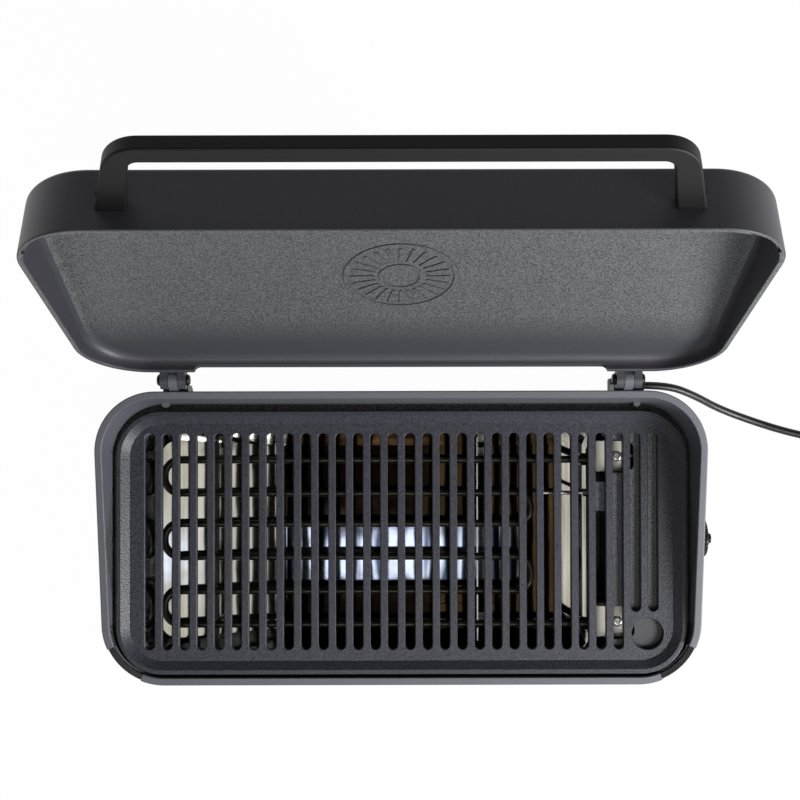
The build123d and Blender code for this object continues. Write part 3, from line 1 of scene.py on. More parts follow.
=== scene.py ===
# %% [markdown]
# # An electric table grill with its lid open
#
# The grill's solid pieces come from its CAD model, each one in its real place.
# This file gives them what the model lacks: a camera, soft studio light, and
# finishes that show how each surface was cast, pressed, moulded or coated.
# The mains lead is the one piece that is drawn again, because a bendy lead
# looks best as a smooth curve.

# %% Load the solid pieces
import math

import bpy
from mathutils import Matrix, Vector


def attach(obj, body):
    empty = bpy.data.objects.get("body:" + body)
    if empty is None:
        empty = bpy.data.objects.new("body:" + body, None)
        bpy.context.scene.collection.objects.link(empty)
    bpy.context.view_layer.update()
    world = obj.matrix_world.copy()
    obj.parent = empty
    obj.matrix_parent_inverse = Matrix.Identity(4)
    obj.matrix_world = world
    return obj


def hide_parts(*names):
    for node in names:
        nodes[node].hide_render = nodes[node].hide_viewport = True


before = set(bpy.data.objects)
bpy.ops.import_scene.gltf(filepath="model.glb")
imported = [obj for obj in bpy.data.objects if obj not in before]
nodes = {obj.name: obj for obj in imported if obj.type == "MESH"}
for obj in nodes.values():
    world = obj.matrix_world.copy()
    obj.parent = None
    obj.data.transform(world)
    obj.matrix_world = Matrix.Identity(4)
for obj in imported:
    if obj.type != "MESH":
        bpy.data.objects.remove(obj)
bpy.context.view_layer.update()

# %% [markdown]
# ## Millimetres, colours and nodes
#
# Drawings of appliances are in millimetres and Blender counts in metres, so
# one function converts. Colours are easiest to pick as the hex values of a
# screen colour, but a shader wants linear light, so a second function turns
# one into the other. A third adds one shader node with its settings and links,
# which keeps every material to a few readable lines.

# %% Small helpers
def mm(*lengths):
    """Millimetres to metres: a number, or a tuple of them."""
    metres = tuple(length / 1000 for length in lengths)
    return metres[0] if len(metres) == 1 else metres


def per_metre(size):
    """A pattern's scale, in grains per metre, from the size of one grain in mm."""
    return 1000 / size


def paint(hex_colour):
    """A linear colour with alpha from an sRGB hex value such as '#45474d'."""
    channels = [int(hex_colour[i : i + 2], 16) / 255 for i in (1, 3, 5)]
    linear = [c / 12.92 if c <= 0.04045 else ((c + 0.055) / 1.055) ** 2.4 for c in channels]
    return (*linear, 1.0)


def add_node(tree, kind, settings=None, inputs=None):
    """Add a node; an input is a value, or another node's output to link."""
    made = tree.nodes.new(kind)
    for name, value in (settings or {}).items():
        setattr(made, name, value)
    for socket, value in (inputs or {}).items():
        if isinstance(value, bpy.types.NodeSocket):
            tree.links.new(value, made.inputs[socket])
        else:
            made.inputs[socket].default_value = value
    return made


print("a millimetre is", mm(1), "m, and mid grey is", round(paint("#808080")[0], 3), "linear")

# %% [markdown]
# ## Giving pieces their finish
#
# Each real surface gets one material, named for what it is made of. All start
# from the same shader, and a pattern is laid out in object coordinates. Those
# are metres here, so a grain keeps its real size on every piece. A mesh could be
# unwrapped for its pattern, but a solid pattern has no seams. The Mix node shows
# one set of sockets for numbers, one for vectors and one for colours, under the
# same names, so its sockets are picked by number.

# %% Finish helpers
MIX_COLOURS = {"data_type": "RGBA"}
FACTOR, FIRST, SECOND, MIXED = 0, 6, 7, 2


def start_finish(name, colour, metallic=0.0, roughness=0.5):
    """A material with its shader; returns it, its tree, the shader and object coordinates."""
    material = bpy.data.materials.new(name)
    material.use_nodes = True
    tree = material.node_tree
    shader = tree.nodes["Principled BSDF"]
    shader.inputs["Base Color"].default_value = paint(colour)
    shader.inputs["Metallic"].default_value = metallic
    shader.inputs["Roughness"].default_value = roughness
    place = add_node(tree, "ShaderNodeTexCoord").outputs["Object"]
    return material, tree, shader, place


def finish_pieces(material, *names):
    """Give one finish to the named solid pieces."""
    for name in names:
        mesh = nodes[name].data
        mesh.materials.clear()
        mesh.materials.append(material)
    print(material.name, "->", ", ".join(names))


def finish_faces(name, finish, other_finish, is_other):
    """Give a casting one finish, and another on the faces for which is_other says so."""
    mesh = nodes[name].data
    mesh.materials.clear()
    mesh.materials.append(finish)
    mesh.materials.append(other_finish)
    for face in mesh.polygons:
        face.material_index = 1 if is_other(face) else 0
    print(finish.name, "and", other_finish.name, "->", name)


def smooth_pieces(degrees, *names):
    """Shade curved faces smoothly and leave edges sharper than this angle crisp."""
    for name in names:
        mesh = nodes[name].data
        mesh.set_sharp_from_angle(angle=math.radians(degrees))
        for face in mesh.polygons:
            face.use_smooth = True


# %% [markdown]
# ## The camera
#
# The grill is seen from above, from a little over a metre up, with the
# camera almost level over the gap between the body and the lid. A lens of
# about 57 mm gives the same perspective: the open lid, which is nearer, looks
# larger than the body. The tiny turns correct a camera that wasn't quite square.
# Place, turns and lens were fitted together to the outline of the body, the
# plate's slots and the lid.

# %% Camera above the grill
CAMERA_PLACE = mm(-1.5, 105.9, 1203.4)
CAMERA_TURNS = (0.775, -0.031, -0.13)
CAMERA_LENS = 57.1
SENSOR_WIDTH = 36.0
NEAREST_SEEN = mm(50)

camera = bpy.data.objects.new("Camera", bpy.data.cameras.new("Camera"))
bpy.context.scene.collection.objects.link(camera)
turn = Matrix.Identity(4)
for degrees, axis in zip(CAMERA_TURNS, "XYZ"):
    turn = turn @ Matrix.Rotation(math.radians(degrees), 4, axis)
camera.matrix_world = Matrix.Translation(CAMERA_PLACE) @ turn
camera.data.lens = CAMERA_LENS
camera.data.sensor_width = SENSOR_WIDTH
camera.data.clip_start = NEAREST_SEEN
bpy.context.scene.camera = camera
print("camera height:", round(camera.matrix_world.translation.z, 3), "m")

# %% [markdown]
# ## The mains lead
#
# A mains lead is a fixed length of rubber or PVC cable. It leaves a gland on
# the back wall, drops to the table and runs off to the right. The rest is wound
# into a neat coil of two layers and strapped, as it is for storage. A mesh tube
# would show its corners, so one smooth NURBS curve with a round bevel makes the
# whole lead: it bends evenly and keeps its thickness. The coil's control points
# sit a little outside the wanted circle, because such a curve always runs
# inside the corners of its control polygon.

# %% Route of the lead
LEAD_DIAMETER = 7.0
LEAD_RUN = [
    (222.5, 134.5, 40.0),
    (244.5, 134.5, 40.0),
    (270.0, 126.0, 31.0),
    (297.0, 113.5, 14.0),
    (330.0, 102.0, 4.2),
    (365.0, 91.0, 3.7),
    (399.0, 83.8, 4.8),
    (433.0, 83.8, 4.8),
]
COIL_CENTRE = (440.0, 33.0)
COIL_INNER_RADIUS = 28.0
COIL_PITCH = 7.6
COIL_LOW = 4.8
LAYER_RISE = 7.5
LAYER_TURNS = 2.75
CLIMB_TURNS = 0.5
COIL_TAIL = 42.0
POINTS_PER_TURN = 16


def lead_route():
    """Control points of the whole lead, in metres."""
    turns = 2 * LAYER_TURNS + CLIMB_TURNS
    outer = COIL_INNER_RADIUS + COIL_PITCH * turns / 2
    # Nearest a control point the curve is 3/4 of it and 1/8 of each neighbour.
    swell = 1 / (0.75 + 0.25 * math.cos(2 * math.pi / POINTS_PER_TURN))
    route = list(LEAD_RUN)
    for k in range(round(turns * POINTS_PER_TURN)):
        turn = (k + 0.5) / POINTS_PER_TURN
        climb = min(max((turn - LAYER_TURNS) / CLIMB_TURNS, 0), 1)
        radius = swell * (outer - COIL_PITCH * min(turn, turns - turn))
        angle = math.pi / 2 - 2 * math.pi * turn
        height = COIL_LOW + LAYER_RISE * (3 * climb**2 - 2 * climb**3)
        x = COIL_CENTRE[0] + radius * math.cos(angle)
        y = COIL_CENTRE[1] + radius * math.sin(angle)
        route.append((x, y, height))
    back, top = COIL_CENTRE[1] + outer, COIL_LOW + LAYER_RISE
    for along in (COIL_TAIL / 3, COIL_TAIL):
        route.append((COIL_CENTRE[0] + along, back, top))
    return [mm(*point) for point in route]


lead_points = lead_route()
print("lead control points:", len(lead_points))

# %% [markdown]
# ## Drawing the lead
#
# The curve's round bevel is the lead's thickness. Blender multiplies the bevel
# by each point's own radius, and it also adds that radius, in metres, to the box
# round the curve. With the usual radius of 1 the box would be two metres too
# wide. So the points get a tiny radius, and the bevel is deeper by as much.

# %% Draw the lead
POINT_RADIUS = 0.001
lead_curve = bpy.data.curves.new("mains_cable", "CURVE")
lead_curve.dimensions = "3D"
spline = lead_curve.splines.new("NURBS")
spline.points.add(len(lead_points) - 1)
for point, place in zip(spline.points, lead_points):
    point.co = (*place, 1.0)
    point.radius = POINT_RADIUS
spline.order_u = 3
spline.use_endpoint_u = True
spline.resolution_u = 6
lead_curve.bevel_depth = mm(LEAD_DIAMETER / 2) / POINT_RADIUS
lead_curve.bevel_resolution = 5
lead_curve.use_fill_caps = True
mains_cable = bpy.data.objects.new("mains_cable", lead_curve)
bpy.context.scene.collection.objects.link(mains_cable)
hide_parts("mains_lead", "cord_coil")
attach(mains_cable, "body")
print("lead length:", round(spline.calc_length(), 3), "m")

# %% [markdown]
# ## Rubber: the lead's sheath
#
# The sheath is extruded rubber, which comes out smooth and nearly black with a
# low sheen. Anything finer would be lost on a tube this thin, so the shader's
# own colour and roughness do.

# %% Lead sheath
lead_rubber, *_ = start_finish("rubber_lead_sheath", "#08080a", roughness=0.4)
lead_curve.materials.append(lead_rubber)
print(lead_rubber.name, "->", mains_cable.name)

# %% [markdown]
# ## Enamel on cast aluminium: the body and the lid
#
# The body and the lid are die-cast aluminium with a baked enamel. Most of it
# is a smooth, slightly bluish satin paint with hardly any grain. The well in
# the body and the panel inside the lid have a coarser coat: its grains catch
# the light one by one, so the grey looks speckled, and the lighter grains are
# partly a painted glint. On the panel the grains give way to a darker, bluish
# grey towards the hinges. In the well they darken towards the front as painted
# shade. Displaced meshes would be heavy for grains this small, so a noise drives
# both a colour change and a small bump. Real grains are finer than a millimetre.
# They are drawn a millimetre or two wide, coarse enough to show from a metre away.

# %% Enamels
def speckled_enamel(
    name, shade, fleck_and_glint, roughness, grain_mm, bump_mm, contrast=0.5, fade=None
):
    """Baked enamel with grains of two greys, the lighter one partly a painted glint.
    A fade is a colour, two places in mm between which it gives way to the grains,
    and their axis."""
    material, tree, shader, place = start_finish(name, shade, roughness=roughness)
    grain = add_node(
        tree,
        "ShaderNodeTexNoise",
        inputs={
            "Vector": place,
            "Scale": per_metre(grain_mm),
            "Detail": 2.0,
            "Roughness": 0.5,
        },
    )
    spread = add_node(
        tree,
        "ShaderNodeMapRange",
        inputs={
            "Value": grain.outputs["Fac"],
            "From Min": 0.5 - contrast / 2,
            "From Max": 0.5 + contrast / 2,
        },
    )
    tint = add_node(
        tree,
        "ShaderNodeMix",
        MIX_COLOURS,
        {FACTOR: spread.outputs["Result"], FIRST: paint(shade), SECOND: paint(fleck_and_glint)},
    )
    if fade:
        faded, low, high, axis = fade
        axes = add_node(tree, "ShaderNodeSeparateXYZ", inputs={0: place})
        share = add_node(
            tree,
            "ShaderNodeMapRange",
            inputs={
                "Value": axes.outputs[axis],
                "From Min": mm(low),
                "From Max": mm(high),
            },
        )
        tint = add_node(
            tree,
            "ShaderNodeMix",
            MIX_COLOURS,
            {FACTOR: share.outputs["Result"], FIRST: paint(faded), SECOND: tint.outputs[MIXED]},
        )
    tree.links.new(tint.outputs[MIXED], shader.inputs["Base Color"])
    bump = add_node(
        tree,
        "ShaderNodeBump",
        inputs={"Height": grain.outputs["Fac"], "Distance": mm(bump_mm), "Strength": 1.0},
    )
    tree.links.new(bump.outputs["Normal"], shader.inputs["Normal"])
    return material


satin = {"roughness": 0.45, "grain_mm": 1.2, "bump_mm": 0.05}
body_satin = speckled_enamel("satin_enamel_body", "#54555c", "#5e5f67", **satin)
lid_satin = speckled_enamel("satin_enamel_lid", "#33333a", "#3c3c43", **satin)
body_grain = speckled_enamel(
    "speckled_enamel_body",
    "#2a2b2e",
    "#6a6b6e",
    roughness=0.5,
    grain_mm=1.5,
    bump_mm=0.3,
    contrast=0.3,
    # towards the front the well darkens to this colour: painted shade
    fade=("#343538", -95, 40, "Y"),
)
lid_grain = speckled_enamel(
    "speckled_enamel_lid",
    "#2f3033",
    "#666769",
    roughness=0.5,
    grain_mm=1.3,
    bump_mm=0.25,
    contrast=0.32,
    # towards the hinges the panel darkens to this bluish grey
    fade=("#393a40", 168, 205, "Z"),
)
print("enamels:", body_satin.name, lid_satin.name, body_grain.name, lid_grain.name)

# %% [markdown]
# ## Which face gets which enamel
#
# Each casting is one mesh, so its two coats are chosen face by face. The
# coarse coat is inside a hollow, and a face there looks towards the hollow's
# middle. Inside the lid only the flat panel has it, so its faces must also look
# nearly the same way as the panel. Painting a mask would do it too, but a test
# on the faces follows the casting by itself.

# %% Faces of the two castings
WELL_MIDDLE = Vector(mm(0, 0, 88))
WELL_EDGE_HEIGHT = mm(96)
LID_MIDDLE = Vector(mm(0, 185, 270))
PANEL_NORMAL = Vector((0, -0.879, 0.477))
PANEL_LIKENESS = 0.8


def in_well(face):
    """A face of the body that looks into its well, below the rim's edge."""
    inwards = (WELL_MIDDLE - face.center).dot(face.normal) > 0
    return inwards and face.center.z < WELL_EDGE_HEIGHT


def on_lid_panel(face):
    """A face of the panel inside the lid."""
    inwards = (LID_MIDDLE - face.center).dot(face.normal) > 0
    return inwards and face.normal.dot(PANEL_NORMAL) > PANEL_LIKENESS


finish_faces("body_shell", body_satin, body_grain, in_well)
finish_faces("lid_shell", lid_satin, lid_grain, on_lid_panel)
smooth_pieces(28, "body_shell", "lid_shell")

# %% [markdown]
# ## Enamelled cast iron: the grill plate
#
# The plate is cast iron under a matt, slightly bluish enamel with a fine
# pimpled skin. It has a soft sheen on its curved lip, where the pimples break
# the highlight. It is the same kind of coat as on the casing, so the same
# function makes it, darker and with grains drawn at 1.6 mm so that they show.

# %% Grill plate
plate_enamel = speckled_enamel(
    "matt_enamel_plate",
    "#202128",
    "#3d3e48",
    roughness=0.42,
    grain_mm=1.6,
    bump_mm=0.3,
    contrast=0.35,
)
finish_pieces(plate_enamel, "grill_plate")
smooth_pieces(28, "grill_plate")

# %% [markdown]
# ## Glass-filled nylon: the handle
#
# A handle that stays cool is moulded in black glass-filled nylon. The mould is
# spark-eroded, which gives an even satin skin with a grain far under a
# millimetre. Its colour is nearly black and its edges are softly rounded. The
# grain is drawn at half a millimetre, a little coarser than it is, as a bump
# alone, because the colour goes right through. The lead's gland is moulded in
# the same nylon.

# %% Handle
NYLON_IOR = 1.4
handle_nylon, tree, shader, place = start_finish(
    "glass_filled_nylon_handle", "#070708", roughness=0.55
)
shader.inputs["IOR"].default_value = NYLON_IOR
skin = add_node(
    tree,
    "ShaderNodeTexNoise",
    inputs={"Vector": place, "Scale": per_metre(0.5), "Detail": 2.0},
)
bump = add_node(
    tree,
    "ShaderNodeBump",
    inputs={"Height": skin.outputs["Fac"], "Distance": mm(0.03), "Strength": 0.6},
)
tree.links.new(bump.outputs["Normal"], shader.inputs["Normal"])
finish_pieces(handle_nylon, "handle", "cable_gland")
smooth_pieces(35, "handle", "cable_gland")

# %% [markdown]
# ## Silicone rubber: corner bumpers and feet
#
# The bumpers in the front corners of the rim keep the closed lid from
# rattling. They are black moulded silicone with a slight gloss. The feet are
# the same rubber, but they stand on tables and pick up dust, which is duller in
# patches of about 4 mm. Dust doesn't change black rubber's colour much, so only
# its roughness varies.

# %% Bumpers and feet
bumper_silicone, *_ = start_finish("silicone_bumper", "#101012", roughness=0.22)
finish_pieces(bumper_silicone, "corner_bumper_left", "corner_bumper_right")
foot_rubber, tree, shader, place = start_finish("silicone_feet", "#1b1b1c", roughness=0.7)
dust = add_node(
    tree,
    "ShaderNodeTexNoise",
    inputs={"Vector": place, "Scale": per_metre(4), "Detail": 4.0},
)
dull = add_node(
    tree,
    "ShaderNodeMapRange",
    inputs={"Value": dust.outputs["Fac"], "To Min": 0.6, "To Max": 0.85},
)
tree.links.new(dull.outputs["Result"], shader.inputs["Roughness"])
finish_pieces(foot_rubber, "rubber_feet")
smooth_pieces(35, "rubber_feet", "corner_bumper_left", "corner_bumper_right")

# %% [markdown]
# ## Bright stainless sheet: the reflector tray
#
# The tray under the element is pressed from bright-annealed stainless, so it
# works as a mirror that throws the heat up. Its two ends are pale and streaky:
# the steel's own colour, brightened as a painted reflection. The middle of its
# floor carries a painted reflection of the lamp over it. Between them the colour
# is a painted dark reflection of the plate's underside, in brown. Near its right
# end the sheet is creased into two narrow facets that catch the upper lamp.
# These zones could be painted on an image, but soft edges at places in
# millimetres need no image and stay sharp at any size.

# %% Zones of the tray
# An edge is an axis, the place in mm where its share is 0, and where it is 1.
TRAY_EDGES = {
    "left_end": ("X", -104, -112),
    "right_end": ("X", 142.5, 144),
    "middle_front": ("Y", -45, -41),
    "middle_back": ("Y", 10, 6),
    "middle_right": ("X", 108, 104),
    "first_facet_right": ("X", 156.5, 155.5),
    "second_facet_left": ("X", 162, 163),
    "second_facet_right": ("X", 166, 165.5),
}
# A zone joins two shares: what is in both of them, or in either.
BOTH, EITHER = "MULTIPLY", "MAXIMUM"
# The ends and the middle get painted bright reflections; the rest of the sheet gets a painted
# dark reflection.
TRAY_ZONES = {
    "ends": (EITHER, "left_end", "right_end"),
    "middle_band": (BOTH, "middle_front", "middle_back"),
    "middle": (BOTH, "middle_band", "middle_right"),
    "bright_reflection_zone": (EITHER, "ends", "middle"),
    "first_facet": (BOTH, "right_end", "first_facet_right"),
    "second_facet": (BOTH, "second_facet_left", "second_facet_right"),
    "facets": (EITHER, "first_facet", "second_facet"),
}
tray_steel, tree, shader, place = start_finish(
    "bright_annealed_stainless", "#cfd2d6", metallic=1.0, roughness=0.09
)
axes = add_node(tree, "ShaderNodeSeparateXYZ", inputs={0: place})
share = {}
for name, (axis, none, full) in TRAY_EDGES.items():
    edge = add_node(
        tree,
        "ShaderNodeMapRange",
        inputs={"Value": axes.outputs[axis], "From Min": mm(none), "From Max": mm(full)},
    )
    share[name] = edge.outputs["Result"]
for name, (operation, one, other) in TRAY_ZONES.items():
    zone = add_node(
        tree,
        "ShaderNodeMath",
        {"operation": operation},
        {0: share[one], 1: share[other]},
    )
    share[name] = zone.outputs[0]
print("tray zones:", ", ".join(TRAY_ZONES))

# %% [markdown]
# ## Colours of the tray
#
# Every tone of the tray is a pattern between two colours. The painted dark
# reflection varies in broad clouds of a few centimetres. Rolling leaves fine
# streaks along the sheet's depth, and the painted reflection of the lamp on the
# floor comes in broader bars. Noise gives all of them: squeezed along one axis,
# its clouds become streaks. Then the tones are laid over each other, zone by zone.

# %% Tones of the tray
# A pattern is the size of one cloud in mm, its detail, and its scale in depth.
TRAY_PATTERNS = {
    # clouds of the painted dark reflection of the plate's underside
    "dark_reflection_clouds": (40, 3.0, 1.0),
    "streaks": (5, 3.0, 0.06),
    "bars": (16, 1.0, 0.15),
    "waves": (35, 1.0, 1.0),
}
BAR_EDGES = (0.42, 0.56)
pattern = {}
for name, (size, detail, depth_scale) in TRAY_PATTERNS.items():
    squeezed = add_node(
        tree,
        "ShaderNodeVectorMath",
        {"operation": "MULTIPLY"},
        {0: place, 1: (1.0, depth_scale, 1.0)},
    )
    clouds = add_node(
        tree,
        "ShaderNodeTexNoise",
        inputs={"Vector": squeezed.outputs[0], "Scale": per_metre(size), "Detail": detail},
    )
    pattern[name] = clouds.outputs["Fac"]
crisp_bars = add_node(
    tree,
    "ShaderNodeMapRange",
    inputs={"Value": pattern["bars"], "From Min": BAR_EDGES[0], "From Max": BAR_EDGES[1]},
)
tone = {}
# brown is a painted dark reflection of the plate's underside; pale is the steel's own colour
# brightened as a painted reflection; mirror is a painted reflection of the lamp in bars.
for name, by, dark, bright in (
    ("brown", pattern["dark_reflection_clouds"], "#1d1812", "#5d4a34"),
    ("pale", pattern["streaks"], "#a6a7a0", "#f2f3ee"),
    ("mirror", crisp_bars.outputs["Result"], "#4a5260", "#e6ebf2"),
    ("lit", pattern["streaks"], "#12110f", "#66645d"),
):
    mix = add_node(
        tree,
        "ShaderNodeMix",
        MIX_COLOURS,
        {FACTOR: by, FIRST: paint(dark), SECOND: paint(bright)},
    )
    tone[name] = mix.outputs[MIXED]
for name, zone, outside, inside in (
    ("bright", "ends", "mirror", "pale"),
    ("creased", "facets", "bright", "lit"),
    ("sheet", "bright_reflection_zone", "brown", "creased"),
):
    mix = add_node(
        tree,
        "ShaderNodeMix",
        MIX_COLOURS,
        {FACTOR: share[zone], FIRST: tone[outside], SECOND: tone[inside]},
    )
    tone[name] = mix.outputs[MIXED]
tree.links.new(tone["sheet"], shader.inputs["Base Color"])
print("tray tones:", ", ".join(tone))

# %% [markdown]
# ## Waves and creases of the tray
#
# A pressed sheet is never quite flat: a slow waviness, under a millimetre deep
# over a few centimetres, bends what it mirrors. A bump shows that best, because
# it changes the reflections and not the outline. In the two facets the shading
# normal is turned as the creased sheet would be.

# %% Waves and creases
FACET_NORMAL = (-0.13, -0.196, 0.972)
FIRST_VECTOR, SECOND_VECTOR, MIXED_VECTOR = 4, 5, 1
bump = add_node(
    tree,
    "ShaderNodeBump",
    inputs={"Height": pattern["waves"], "Distance": mm(0.9), "Strength": 0.5},
)
turned = add_node(
    tree,
    "ShaderNodeMix",
    {"data_type": "VECTOR"},
    {
        FACTOR: share["facets"],
        FIRST_VECTOR: bump.outputs["Normal"],
        SECOND_VECTOR: FACET_NORMAL,
    },
)
tree.links.new(turned.outputs[MIXED_VECTOR], shader.inputs["Normal"])
finish_pieces(tray_steel, "reflector_tray")
smooth_pieces(30, "reflector_tray")

# %% [markdown]
# ## Rolled steel: the strips that carry the element
#
# The strips are cut from bright rolled steel, less polished than the tray.
# They are seen edge on, as thin bright lines, so the shader's own values do.

# %% Support strips
strip_steel, *_ = start_finish(
    "bright_steel_strip", "#c9cacc", metallic=1.0, roughness=0.2
)
finish_pieces(strip_steel, "element_support_left", "element_support_right")

# %% [markdown]
# ## Oxidised sheath: the heating element and the probe
#
# The element is a nickel-alloy tube filled with powder. Its first glow turns
# the bright tube dark olive, and the oxide keeps a dull metallic sheen. The
# oxide is uneven, in patches about as long as the tube is thick, which a noise
# of 9 mm gives. The probe beside it is drawn steel and stays bright.

# %% Heating element and probe
sheath_oxide, tree, shader, place = start_finish(
    "oxidised_sheath", "#2a2a20", metallic=0.6, roughness=0.35
)
oxide = add_node(
    tree,
    "ShaderNodeTexNoise",
    inputs={"Vector": place, "Scale": per_metre(9), "Detail": 4.0},
)
tint = add_node(
    tree,
    "ShaderNodeMix",
    MIX_COLOURS,
    {FACTOR: oxide.outputs["Fac"], FIRST: paint("#1f1f18"), SECOND: paint("#37362a")},
)
tree.links.new(tint.outputs[MIXED], shader.inputs["Base Color"])
finish_pieces(sheath_oxide, "heating_element")
probe_steel, *_ = start_finish(
    "drawn_steel_probe", "#d0d0d0", metallic=1.0, roughness=0.22
)
finish_pieces(probe_steel, "temperature_probe")
smooth_pieces(40, "heating_element", "temperature_probe")

# %% [markdown]
# ## Steatite: the terminal blocks and the thermostat
#
# Steatite is a pressed and fired ceramic. It is cream white with a thin
# eggshell skin and hardly any gloss. Firing leaves faint specks, drawn at
# 1.5 mm, which is coarser than the real ones, in two creams close together.

# %% Ceramic pieces
steatite, tree, shader, place = start_finish("fired_steatite", "#e4dfd2", roughness=0.45)
specks = add_node(
    tree,
    "ShaderNodeTexNoise",
    inputs={"Vector": place, "Scale": per_metre(1.5), "Detail": 3.0},
)
tint = add_node(
    tree,
    "ShaderNodeMix",
    MIX_COLOURS,
    {FACTOR: specks.outputs["Fac"], FIRST: paint("#d6d0c2"), SECOND: paint("#efebe0")},
)
tree.links.new(tint.outputs[MIXED], shader.inputs["Base Color"])
finish_pieces(steatite, "terminal_block_rear", "terminal_block_front", "thermostat")

# %% [markdown]
# ## Small metal: screws, pins, nuts and the shaft
#
# The outer screws and the hinge pins are blackened steel. The screws in the
# ceramic blocks are zinc-plated, and the nuts, shaft and plug pins are plated
# brass. They are all a few millimetres wide, so what tells them apart is how
# bright, how tinted and how rough the metal is.

# %% Small metal pieces
black_steel, *_ = start_finish("blackened_steel", "#232326", metallic=0.85, roughness=0.38)
finish_pieces(
    black_steel, "handle_screws", "cover_screws", "hinge_pin_left", "hinge_pin_right"
)
bright_zinc, *_ = start_finish("zinc_plated_steel", "#dcdcd8", metallic=1.0, roughness=0.3)
finish_pieces(bright_zinc, "terminal_screws")
plated_brass, *_ = start_finish(
    "nickel_plated_brass", "#c8c2b0", metallic=1.0, roughness=0.25
)
finish_pieces(
    plated_brass, "plug_pins", "gland_nut", "thermostat_nut", "thermostat_shaft"
)
smooth_pieces(40, "terminal_screws", "handle_screws", "cover_screws")
smooth_pieces(40, "hinge_pin_left", "hinge_pin_right", "plug_pins", "thermostat_shaft")

# %% [markdown]
# ## Moulded plastics: knob, plug and strap
#
# The control knob is a phenolic resin with a soft gloss. The plug is moulded
# PVC, a little duller. The strap round the coil is woven nylon. Its weave is
# drawn as bands of light and shade from a wave texture, coarser than real
# threads, which are too fine to show on so small a piece.

# %% Knob, plug and strap
knob_phenolic, *_ = start_finish("moulded_phenolic_knob", "#131315", roughness=0.28)
finish_pieces(knob_phenolic, "control_knob")
plug_pvc, *_ = start_finish("moulded_pvc_plug", "#141415", roughness=0.4)
finish_pieces(plug_pvc, "mains_plug")
strap_nylon, tree, shader, place = start_finish(
    "woven_nylon_strap", "#242426", roughness=0.85
)
weave = add_node(
    tree,
    "ShaderNodeTexWave",
    {"bands_direction": "X"},
    {"Vector": place, "Scale": per_metre(8), "Distortion": 1.0},
)
bump = add_node(
    tree,
    "ShaderNodeBump",
    inputs={"Height": weave.outputs["Fac"], "Distance": mm(0.2), "Strength": 0.8},
)
tree.links.new(bump.outputs["Normal"], shader.inputs["Normal"])
finish_pieces(strap_nylon, "coil_tie")
smooth_pieces(35, "control_knob", "mains_plug", "coil_tie")

# %% [markdown]
# ## Painted sheet steel and sleeved wire: the underside and the inside
#
# The bottom cover is plain painted sheet. Sprayed paint dries with a faint
# orange peel, drawn as a very low bump of 2 mm. The wires inside have a woven
# glass-fibre sleeve, which is off-white and matt.

# %% Cover and wires
cover_paint, tree, shader, place = start_finish(
    "painted_steel_cover", "#3c3d40", roughness=0.55
)
peel = add_node(
    tree,
    "ShaderNodeTexNoise",
    inputs={"Vector": place, "Scale": per_metre(2), "Detail": 2.0},
)
bump = add_node(
    tree,
    "ShaderNodeBump",
    inputs={"Height": peel.outputs["Fac"], "Distance": mm(0.05), "Strength": 0.5},
)
tree.links.new(bump.outputs["Normal"], shader.inputs["Normal"])
finish_pieces(cover_paint, "bottom_cover")
wire_sleeve, *_ = start_finish("glass_fibre_sleeve", "#d8d2c4", roughness=0.8)
finish_pieces(wire_sleeve, "inner_wires")
smooth_pieces(35, "inner_wires")

# %% [markdown]
# ## The floor
#
# The grill stands on a white table. Lamps bright enough to make the table
# white would be too bright for the grill. So rays from the camera, mirrors and
# glass see the table glow at a strength of 1, which is white, while a small
# share of its real, lit surface keeps the grill's soft shadow. To all other
# rays it is a plain matt table.

# %% Floor
FLOOR_HALF = 6.0
GLOW_SHARE = 0.98
floor_mesh = bpy.data.meshes.new("floor")
corners = [
    (x * FLOOR_HALF, y * FLOOR_HALF, 0) for x, y in ((-1, -1), (1, -1), (1, 1), (-1, 1))
]
floor_mesh.from_pydata(corners, [], [(0, 1, 2, 3)])
floor = bpy.data.objects.new("floor", floor_mesh)
bpy.context.scene.collection.objects.link(floor)
white_table, tree, shader, _ = start_finish("white_table", "#f4f4f4", roughness=0.9)
ray = add_node(tree, "ShaderNodeLightPath")
seen = ray.outputs["Is Camera Ray"]
for kind in ("Is Glossy Ray", "Is Transmission Ray"):
    either = add_node(
        tree, "ShaderNodeMath", {"operation": "MAXIMUM"}, {0: seen, 1: ray.outputs[kind]}
    )
    seen = either.outputs[0]
glow_share = add_node(
    tree, "ShaderNodeMath", {"operation": "MULTIPLY"}, {0: seen, 1: GLOW_SHARE}
)
glow = add_node(
    tree, "ShaderNodeEmission", inputs={"Color": paint("#ffffff"), "Strength": 1.0}
)
table = add_node(
    tree,
    "ShaderNodeMixShader",
    inputs={0: glow_share.outputs[0], 1: shader.outputs[0], 2: glow.outputs[0]},
)
tree.links.new(table.outputs[0], tree.nodes["Material Output"].inputs["Surface"])
floor_mesh.materials.append(white_table)
print("floor:", 2 * FLOOR_HALF, "m wide")

# %% [markdown]
# ## Pale walls and a dark ceiling
#
# The studio has pale walls and a dark ceiling, so the mirror-bright tray looks
# dark where it sees the ceiling and white where it sees a lamp. A real room
# could be built round the grill. The world does the same with one ramp over the
# height of each direction, from level to straight up.

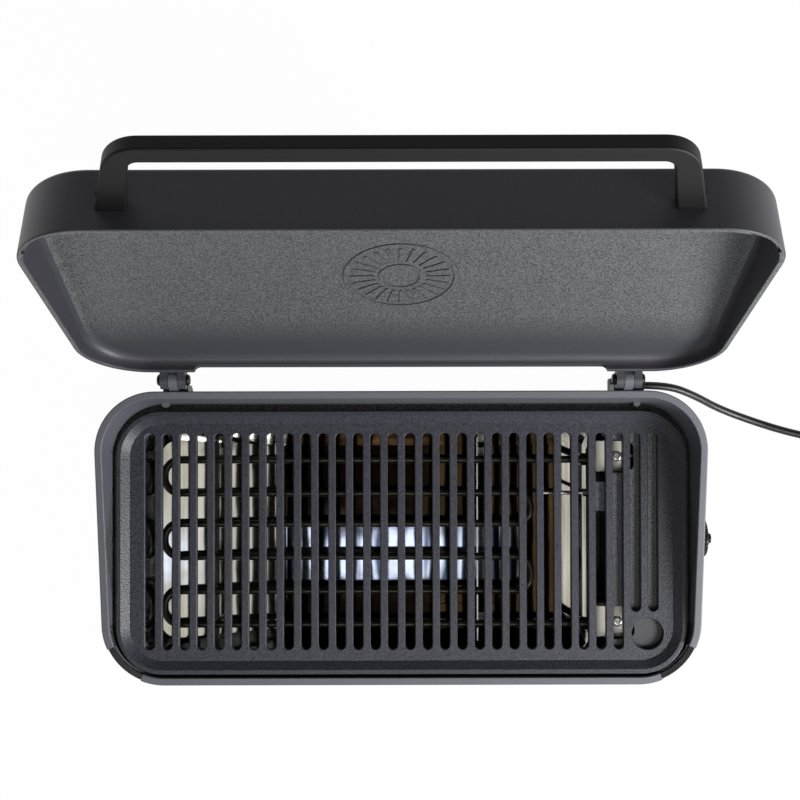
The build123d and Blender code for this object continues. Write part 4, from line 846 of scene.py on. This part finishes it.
# %% Walls and ceiling
WALL_LIGHT = (0.42, 0.42, 0.42, 1)
CEILING_LIGHT = (0.035, 0.028, 0.022, 1)
world = bpy.data.worlds.new("studio")
bpy.context.scene.world = world
world.use_nodes = True
sky_tree = world.node_tree
direction = add_node(sky_tree, "ShaderNodeTexCoord").outputs["Generated"]
sky_axes = add_node(sky_tree, "ShaderNodeSeparateXYZ", inputs={0: direction})
sky_ramp = add_node(
    sky_tree, "ShaderNodeValToRGB", inputs={"Fac": sky_axes.outputs["Z"]}
)
walls, ceiling = sky_ramp.color_ramp.elements
walls.position, walls.color = 0.25, WALL_LIGHT
ceiling.position, ceiling.color = 0.72, CEILING_LIGHT
sky_tree.links.new(sky_ramp.outputs["Color"], sky_tree.nodes["Background"].inputs["Color"])
print("walls:", WALL_LIGHT[:3], "ceiling:", CEILING_LIGHT[:3])

# %% [markdown]
# ## Soft boxes
#
# The main lamp is a broad soft box in front and to the right, not far above
# the lid. It lights the inside of the lid and leaves the lid's back in half
# shade. A second one, further in front and higher, fills in and is what the
# tray's facets mirror. Two weak ones hang high over the grill, facing straight
# down, only to be mirrored: a narrow, bluish one by the tray's middle, and a
# warmer one by the slope at its left end.

# %% Lamps
def soft_box(name, place, target, size, power, tint="#ffffff"):
    """A rectangular area lamp, sized and placed in metres and turned to a target."""
    data = bpy.data.lights.new(name, "AREA")
    data.shape = "RECTANGLE"
    data.size, data.size_y = size
    data.energy = power
    data.color = paint(tint)[:3]
    lamp = bpy.data.objects.new(name, data)
    lamp.location = place
    aim = Vector(target) - Vector(place)
    lamp.rotation_euler = aim.to_track_quat("-Z", "Y").to_euler()
    lamp.visible_camera = False
    bpy.context.scene.collection.objects.link(lamp)


soft_box(
    "key_box", place=(1.0, -0.5, 0.8), target=(0.05, 0.1, 0.15), size=(0.6, 0.6), power=26
)
soft_box(
    "top_box", place=(-0.05, -1.0, 1.95), target=(0, 0, 0.1), size=(1.0, 0.5), power=10
)
soft_box(
    "strip_box",
    place=(-0.03, -0.219, 1.95),
    target=(-0.03, -0.219, 0),
    size=(0.48, 0.114),
    power=0.3,
    tint="#dfe8ff",
)
soft_box(
    "side_strip",
    place=(0.31, -0.19, 1.95),
    target=(0.31, -0.19, 0),
    size=(0.42, 0.5),
    power=0.5,
    tint="#fffaf0",
)
bpy.context.scene.view_settings.view_transform = "Standard"
